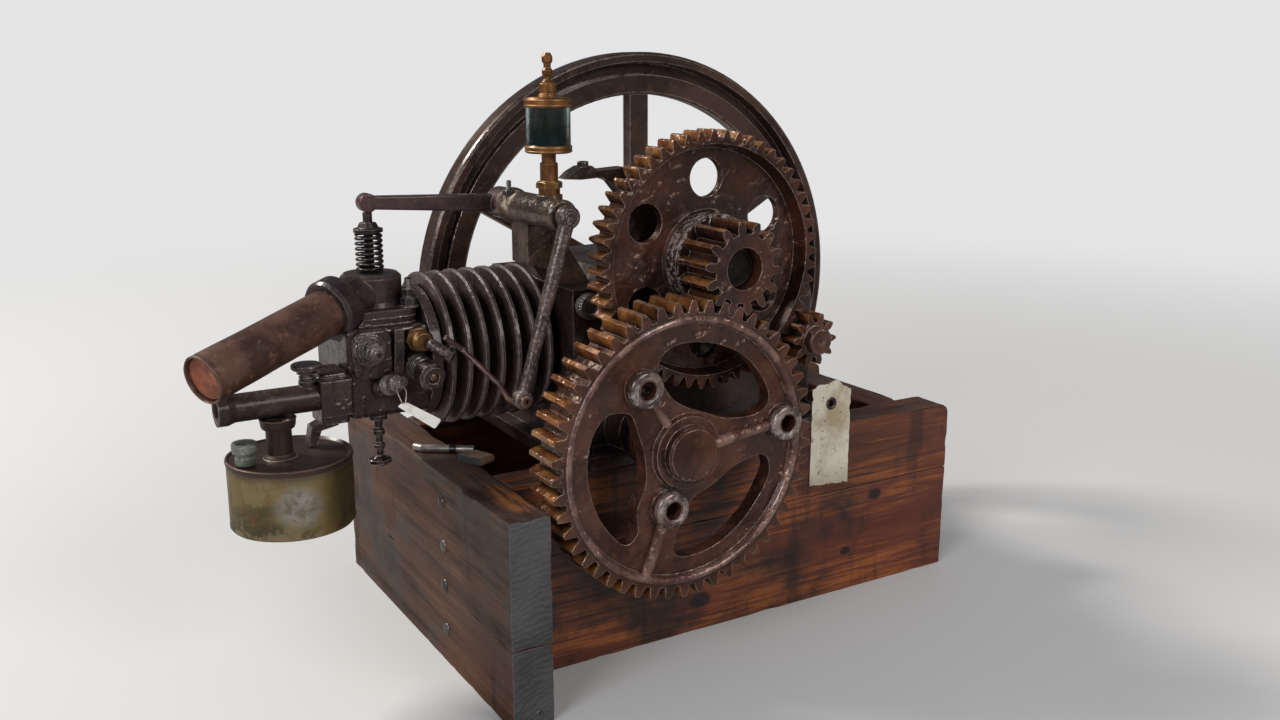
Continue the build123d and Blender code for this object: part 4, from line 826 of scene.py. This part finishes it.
# Paper tag with torn edges and an eyelet, and a card wired to the igniter
tagLook = {
    "pale": (0.66, 0.61, 0.5), "smear": (0.4, 0.31, 0.2), "dirt": (0.26, 0.22, 0.17), "dots": (0.1, 0.065, 0.04),
    "corners": ((344, 122), (344, 222), (351, 226), (362, 225.5), (375, 229), (383, 222), (393, 217), (393, 119)),
    "hole": (368, 205), "holeRadius": 3.6, "front": -126.6, "back": -125.7, "tear": 2.2, "tearStep": 1.6,
    "eyelet": ((0, 3.5), (0.1, 6.6), (0.7, 6.2), (1.0, 5.2), (0.9, 4.2), (0.3, 3.5), (0, 3.5)), "eyeletY": -126.5}
cardLook = {
    "pale": (0.76, 0.74, 0.69), "smear": (0.58, 0.54, 0.47), "y": -95, "thick": 0.6, "wire": 0.45,
    "corners": ((-65.8, 258.1), (-63.8, 260.2), (-57.3, 260.3), (-29.8, 242.2), (-29.4, 240.6), (-33.7, 235.4),
                (-35.6, 234.8)),
    "loop": ((-60.2, -84.5, 271.0), (-56.5, -88, 270.5), (-57.2, -92, 265), (-60.2, -94.6, 257.8),
             (-62.4, -94, 262), (-63.6, -88.5, 270.0), (-61.4, -85.0, 273.6))}
tagPaper = Finish("stainedPaper", "paper")
smear = tagPaper.cloud(28, 5, 0.6)
dots = tagPaper.cloud(3, 4, 0.7)
lowDirt = tagPaper.ramp(tagPaper.axis(tagPaper.place(), "Z") + smear * 0.03, 0.16, 0.135)
paperColour = tagPaper.blend(tagPaper.ramp(smear, 0.45, 0.65), tagLook["pale"], tagLook["smear"])
paperColour = tagPaper.blend(lowDirt * 0.5, paperColour, tagLook["dirt"])
paperColour = tagPaper.blend(tagPaper.ramp(dots, 0.58, 0.66) * 0.75, paperColour, tagLook["dots"])
tagPaper.surface(Base_Color=paperColour, Roughness=0.75 + dots * 0.1, Normal=tagPaper.bump(smear + dots, 0.4))
cardPaper = Finish("whiteCard", "paper")
cardPaper.surface(
    Base_Color=cardPaper.blend(cardPaper.ramp(cardPaper.cloud(8, 4), 0.5, 0.7), cardLook["pale"], cardLook["smear"]),
    Roughness=0.7 + cardPaper.cloud(2) * 0.1, Normal=cardPaper.bump(cardPaper.cloud(5), 0.1))


def tornEdge(corners):
    middle = Vector([sum(c[i] for c in corners) / len(corners) for i in (0, 1)])
    edge = []
    for a, b in zip(corners, corners[1:] + corners[:1]):
        a, b = Vector(a), Vector(b)
        steps = max(1, round((b - a).length / tagLook["tearStep"]))
        for k in range(steps):
            spot = a + (b - a) * k / steps
            pull = tagLook["tear"] * max(0, noise.noise(Vector((spot.x / 5, spot.y / 7, 3))) + 0.1) ** 1.2
            pull += 0.5 * abs(noise.noise(Vector((spot.x, spot.y, 8))))
            edge.append(spot + (middle - spot).normalized() * pull)
    return edge


def punched(edge, hole, low, high):
    # Plate in the X and Z plane with one hole, from low to high along Y
    loops = [[Vector((p[0], 0, p[1])) for p in loop] for loop in (edge, hole)]
    flat = loops[0] + loops[1]
    faces = [list(face) for face in tessellate_polygon(loops)]
    count = len(flat)
    points = [Vector((p.x, y, p.z)) for y in (low, high) for p in flat]
    faces += [[count + i for i in reversed(face)] for face in faces]
    first = 0
    for loop in loops:
        for k in range(len(loop)):
            a, b = first + k, first + (k + 1) % len(loop)
            faces.append([a, b, count + b, count + a])
        first += len(loop)
    return Form().take(points, faces)


holeX, holeZ = tagLook["hole"]
holeEdge = [(holeX + tagLook["holeRadius"] * cos(k * pi / 12), holeZ + tagLook["holeRadius"] * sin(k * pi / 12))
            for k in range(24)]
tag = punched(tornEdge(tagLook["corners"]), holeEdge, tagLook["front"], tagLook["back"])
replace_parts(tag.build("torn_paper_tag", "stainedPaper"), "paper_tag")
eyelet = Form().turned((holeX, tagLook["eyeletY"], holeZ), front, tagLook["eyelet"], 40)
eyelet.build("tag_eyelet", "headSteel")
card = Form().slab([(x, cardLook["y"], z) for x, z in cardLook["corners"]], front, cardLook["thick"])
card.build("white_card", "whiteCard")
cardTie = Form().bar(cardLook["loop"], cardLook["wire"], cardLook["wire"], 8)
cardTie.build("card_wire", "brightSteel")
print("papers made")

# Rivets and a nail in the left timber, bolts in the foot plate, nuts on the valve chest
# Each bolt: place, size across the flats, height, turn, length of stud, washer or not
timberLook = {
    "x": -18.7, "rivets": ((-62.3, 155.6), (-63.5, 114.5), (-62.7, 76.9), (-63.1, 34.1)), "nail": (5, -202.6, 12),
    "rivetHead": ((-1, 5.6), (0.6, 5.7), (1.4, 5.2), (2.2, 3.9), (2.8, 2.0), (3.0, 0)),
    "nailHead": ((-1, 2.6), (0.7, 2.5), (1.0, 1.6), (1.1, 0))}
boltLook = {
    "footPlate": (
        ((98, -112, 193.9), 13, 7, 0.2, 7, True), ((364, -112, 193.9), 13, 7, 0.7, 7, True),
        ((98, 106, 193.9), 13, 7, 0.5, 7, True), ((364, 106, 193.9), 13, 7, 1.1, 7, True)),
    "chestFlange": (
        ((-33.5, -43, 329.8), 12, 7, 0.3, 17, True), ((-36, 17, 329.8), 12, 7, 0.8, 5, True),
        ((-83, 17, 329.8), 12, 7, 0.1, 5, True)),
    "armAndTube": (
        ((104.6, -103, 447.2), 9.5, 4.2, 0.5, 0, False), ((61.5, -46, 419.5), 9, 5, 0.2, 8, False))}


def bolted(which):
    form = Form()
    for place, across, high, turn, stud, washer in boltLook[which]:
        form.bolt(place, up, across, high, turn, stud, washer)
    return form


rivets = Form()
for y, z in timberLook["rivets"]:
    rivets.turned((timberLook["x"], y, z), (-1, 0, 0), timberLook["rivetHead"], 28)
rivets.turned(timberLook["nail"], front, timberLook["nailHead"], 20)
rivets.build("timber_rivets", "rivetSteel")
bolted("footPlate").build("foot_plate_bolts", "headSteel")
bolted("chestFlange").hexagon((-33.5, -43, 341), up, 10.5, 5, 0.6).build("chest_flange_nuts", "headSteel")

# Igniter post, terminal and fittings: threads, nuts and pins
igniterLook = {
    "post": Vector((-78, -58, 302)), "terminal": Vector((-67.8, -58, 266)), "housing": Vector((-37, -58, 283.8)),
    "elbow": Vector((-32, -80, 305)), "brass": (-35, -62.3, 306),
    "terminalWay": Vector((0.278, -0.907, 0.3145)).normalized(),
    "housingWay": Vector((0.088, -0.985, -0.15)).normalized(),
    "elbowWay": Vector((0.669, -0.584, -0.463)).normalized(),
    "postNut": ((0, 5.0), (0.6, 6.2), (3.6, 6.2), (4.4, 5.2), (4.4, 0)),
    "pin": ((0, 3.6), (3.4, 3.4), (4.3, 2.4), (4.6, 0)),
    "collar": ((0, 7.6), (1.6, 7.9), (2.9, 7.2), (3.0, 6.2), (2.0, 5.6), (0, 5.6))}


def along(which, far):
    # The place at this distance along a fitting's own axis
    return igniterLook[which] + igniterLook.get(which + "Way", front) * far


terminalWay, housingWay = igniterLook["terminalWay"], igniterLook["housingWay"]
postNuts = Form()
postNuts.hexagon(along("post", 18.2), front, 14.5, 5.6, 0.2)
postNuts.thread(along("post", 23.5), front, 3.9, 9.5, 1.2)
postNuts.turned(along("post", 26), front, igniterLook["postNut"], 36)
postNuts.thread(along("terminal", 12), terminalWay, 8.7, 6.5, 1.6)
postNuts.hexagon(along("terminal", 21), terminalWay, 13.5, 5.2, 0.4)
postNuts.thread(along("terminal", 26), terminalWay, 4.4, 8.6, 1.2)
postNuts.build("igniter_threads_and_nuts", "nutSteel")
housingPin = Form().turned(along("housing", 34), housingWay, igniterLook["pin"], 28)
housingPin.turned(along("housing", 35.2), housingWay, igniterLook["collar"], 40)
housingPin.build("spring_housing_pin", "rodSteel")
Form().hexagon(igniterLook["brass"], front, 19.4, 6.2, 0.1).build("brass_hexagon", "dullBrass")
elbowNut = Form().hexagon(along("elbow", 19.2), igniterLook["elbowWay"], 12.6, 4.8, 0.3)
elbowNut.build("elbow_nut", "oilySteel")

# Knurled caps, the last bolts, key in the flywheel's hub, sleeve on the loose rod
caseCapLook = {
    "place": (108, -98.5, 326), "ridges": 30, "deep": 0.5,
    "profile": ((0, 9), (2, 9), (2.4, 11.5), (10, 11.5), (11.4, 10.2), (11.8, 7.5), (10.8, 6.5), (10.8, 0))}
fillerLook = {
    "place": (-184, -63, 230.6), "ridges": 36, "deep": 0.4,
    "profile": ((0, 9.4), (0.6, 10), (6, 10), (6.8, 9.4), (7.6, 8.2), (7.8, 0))}
leverLook = {"foot": (25, -146, 262)}
keyLook = {"y": 187, "corners": ((307.5, 295), (316.5, 295), (316.5, 306), (307.5, 306)), "long": 12}
sleeveLook = {
    "place": (11, -10.7, 185.6), "way": (0.819, -0.574, 0), "profile": ((0, 3.4), (0, 3.85), (7, 3.85), (7, 3.4))}


def knurled(look, axis):
    # Ridges round a cap, where axis is the other one of the two that its circle lies in besides X
    def bend(p):
        angle = atan2(p[axis] - look["place"][axis], p.x - look["place"][0])
        return look["deep"] * (0.5 + 0.5 * cos(angle * look["ridges"]))
    return bend


caseCap = Form().turned(caseCapLook["place"], front, caseCapLook["profile"], 120, knurled(caseCapLook, 2))
caseCap.build("knurled_case_cap", "nutSteel")
bolted("armAndTube").build("arm_bolt_and_tube_stud", "headSteel")
Form().hexagon(leverLook["foot"], front, 9, 3.6, 0.4).build("lever_foot_nut", "rodSteel", "rocker")
keyForm = Form().slab([(x, keyLook["y"], z) for x, z in keyLook["corners"]], (0, 1, 0), keyLook["long"])
keyForm.build("flywheel_key", "oilySteel", "crank")
sleeve = Form().turned(sleeveLook["place"], sleeveLook["way"], sleeveLook["profile"], 24)
sleeve.build("rod_sleeve", "headIron")
fillerRim = Form().turned(fillerLook["place"], up, fillerLook["profile"], 144, knurled(fillerLook, 1))
fillerRim.build("filler_cap_rim", "capMetal")
print("fasteners made")

# Studio floor and light
studioLook = {
    "floor": (0.62, 0.61, 0.6), "floorInShine": (0.26, 0.25, 0.24), "backdrop": (0.78, 0.78, 0.78),
    "room": (0.29, 0.3, 0.32), "roomInShine": (0.08, 0.08, 0.085), "middle": (0.15, 0, 0), "fade": (0.7, 3.0),
    "half": 9, "aim": Vector((0.15, 0, 0.2))}
pale = Finish("paleFloor", "timber")
farAway = pale.length(pale.shifted(pale.place(), studioLook["middle"]))
farShare = pale.ramp(farAway, *studioLook["fade"]) * pale.node("LightPath", output="Is Camera Ray")
floorTone = pale.blend(
    pale.node("LightPath", output="Is Glossy Ray"), studioLook["floor"], studioLook["floorInShine"])
nearFloor = pale.node("BsdfPrincipled", {}, {"Base Color": floorTone, "Roughness": 0.8 + pale.cloud(200) * 0.05})
farFloor = pale.node("Emission", {}, {"Color": studioLook["backdrop"], "Strength": 1.0})
pale.node("OutputMaterial", {}, {"Surface": pale.node("MixShader", {}, {0: farShare, 1: nearFloor, 2: farFloor})})
half = studioLook["half"]
floorMesh = bpy.data.meshes.new("studioFloor")
floorMesh.from_pydata([(-half, -half, 0), (half, -half, 0), (half, half, 0), (-half, half, 0)], [], [(0, 1, 2, 3)])
floorMesh.materials.append(pale.material)
studioFloor = added("studioFloor", floorMesh)

world = bpy.data.worlds.new("studio")
bpy.context.scene.world = world
world.use_nodes = True
room = Finish.__new__(Finish)
room.tree = world.node_tree
room.tree.nodes.clear()
seen = room.node("LightPath", output="Is Camera Ray")
mirrored = room.node("LightPath", output="Is Glossy Ray")
through = room.node("LightPath", output="Is Transmission Ray")
roomTone = room.blend(mirrored, studioLook["room"], studioLook["roomInShine"])
roomTone = room.blend(seen + through, roomTone, studioLook["backdrop"])
room.node("OutputWorld", {}, {"Surface": room.node("Background", {}, {"Color": roomTone, "Strength": 1.0})})

# Each light: place, width, power and tint
studioLights = {
    "keyFromBack": ((-2.3, 2.6, 3.6), 1.2, 215, (1.0, 0.97, 0.92)),
    "fillFromLeft": ((-3.6, -2.1, 2.4), 1.8, 85, (0.95, 0.97, 1.0)),
    "fillFromFront": ((1.4, -4.4, 2.7), 2.0, 95, (1.0, 0.98, 0.95))}
for name, (place, size, power, tint) in studioLights.items():
    lamp = bpy.data.lights.new(name, "AREA")
    lamp.size = size
    lamp.energy = power
    lamp.color = tint
    stand = added(name, lamp)
    stand.location = place
    stand.rotation_euler = (studioLook["aim"] - Vector(place)).to_track_quat("-Z", "Y").to_euler()
print("studio made")
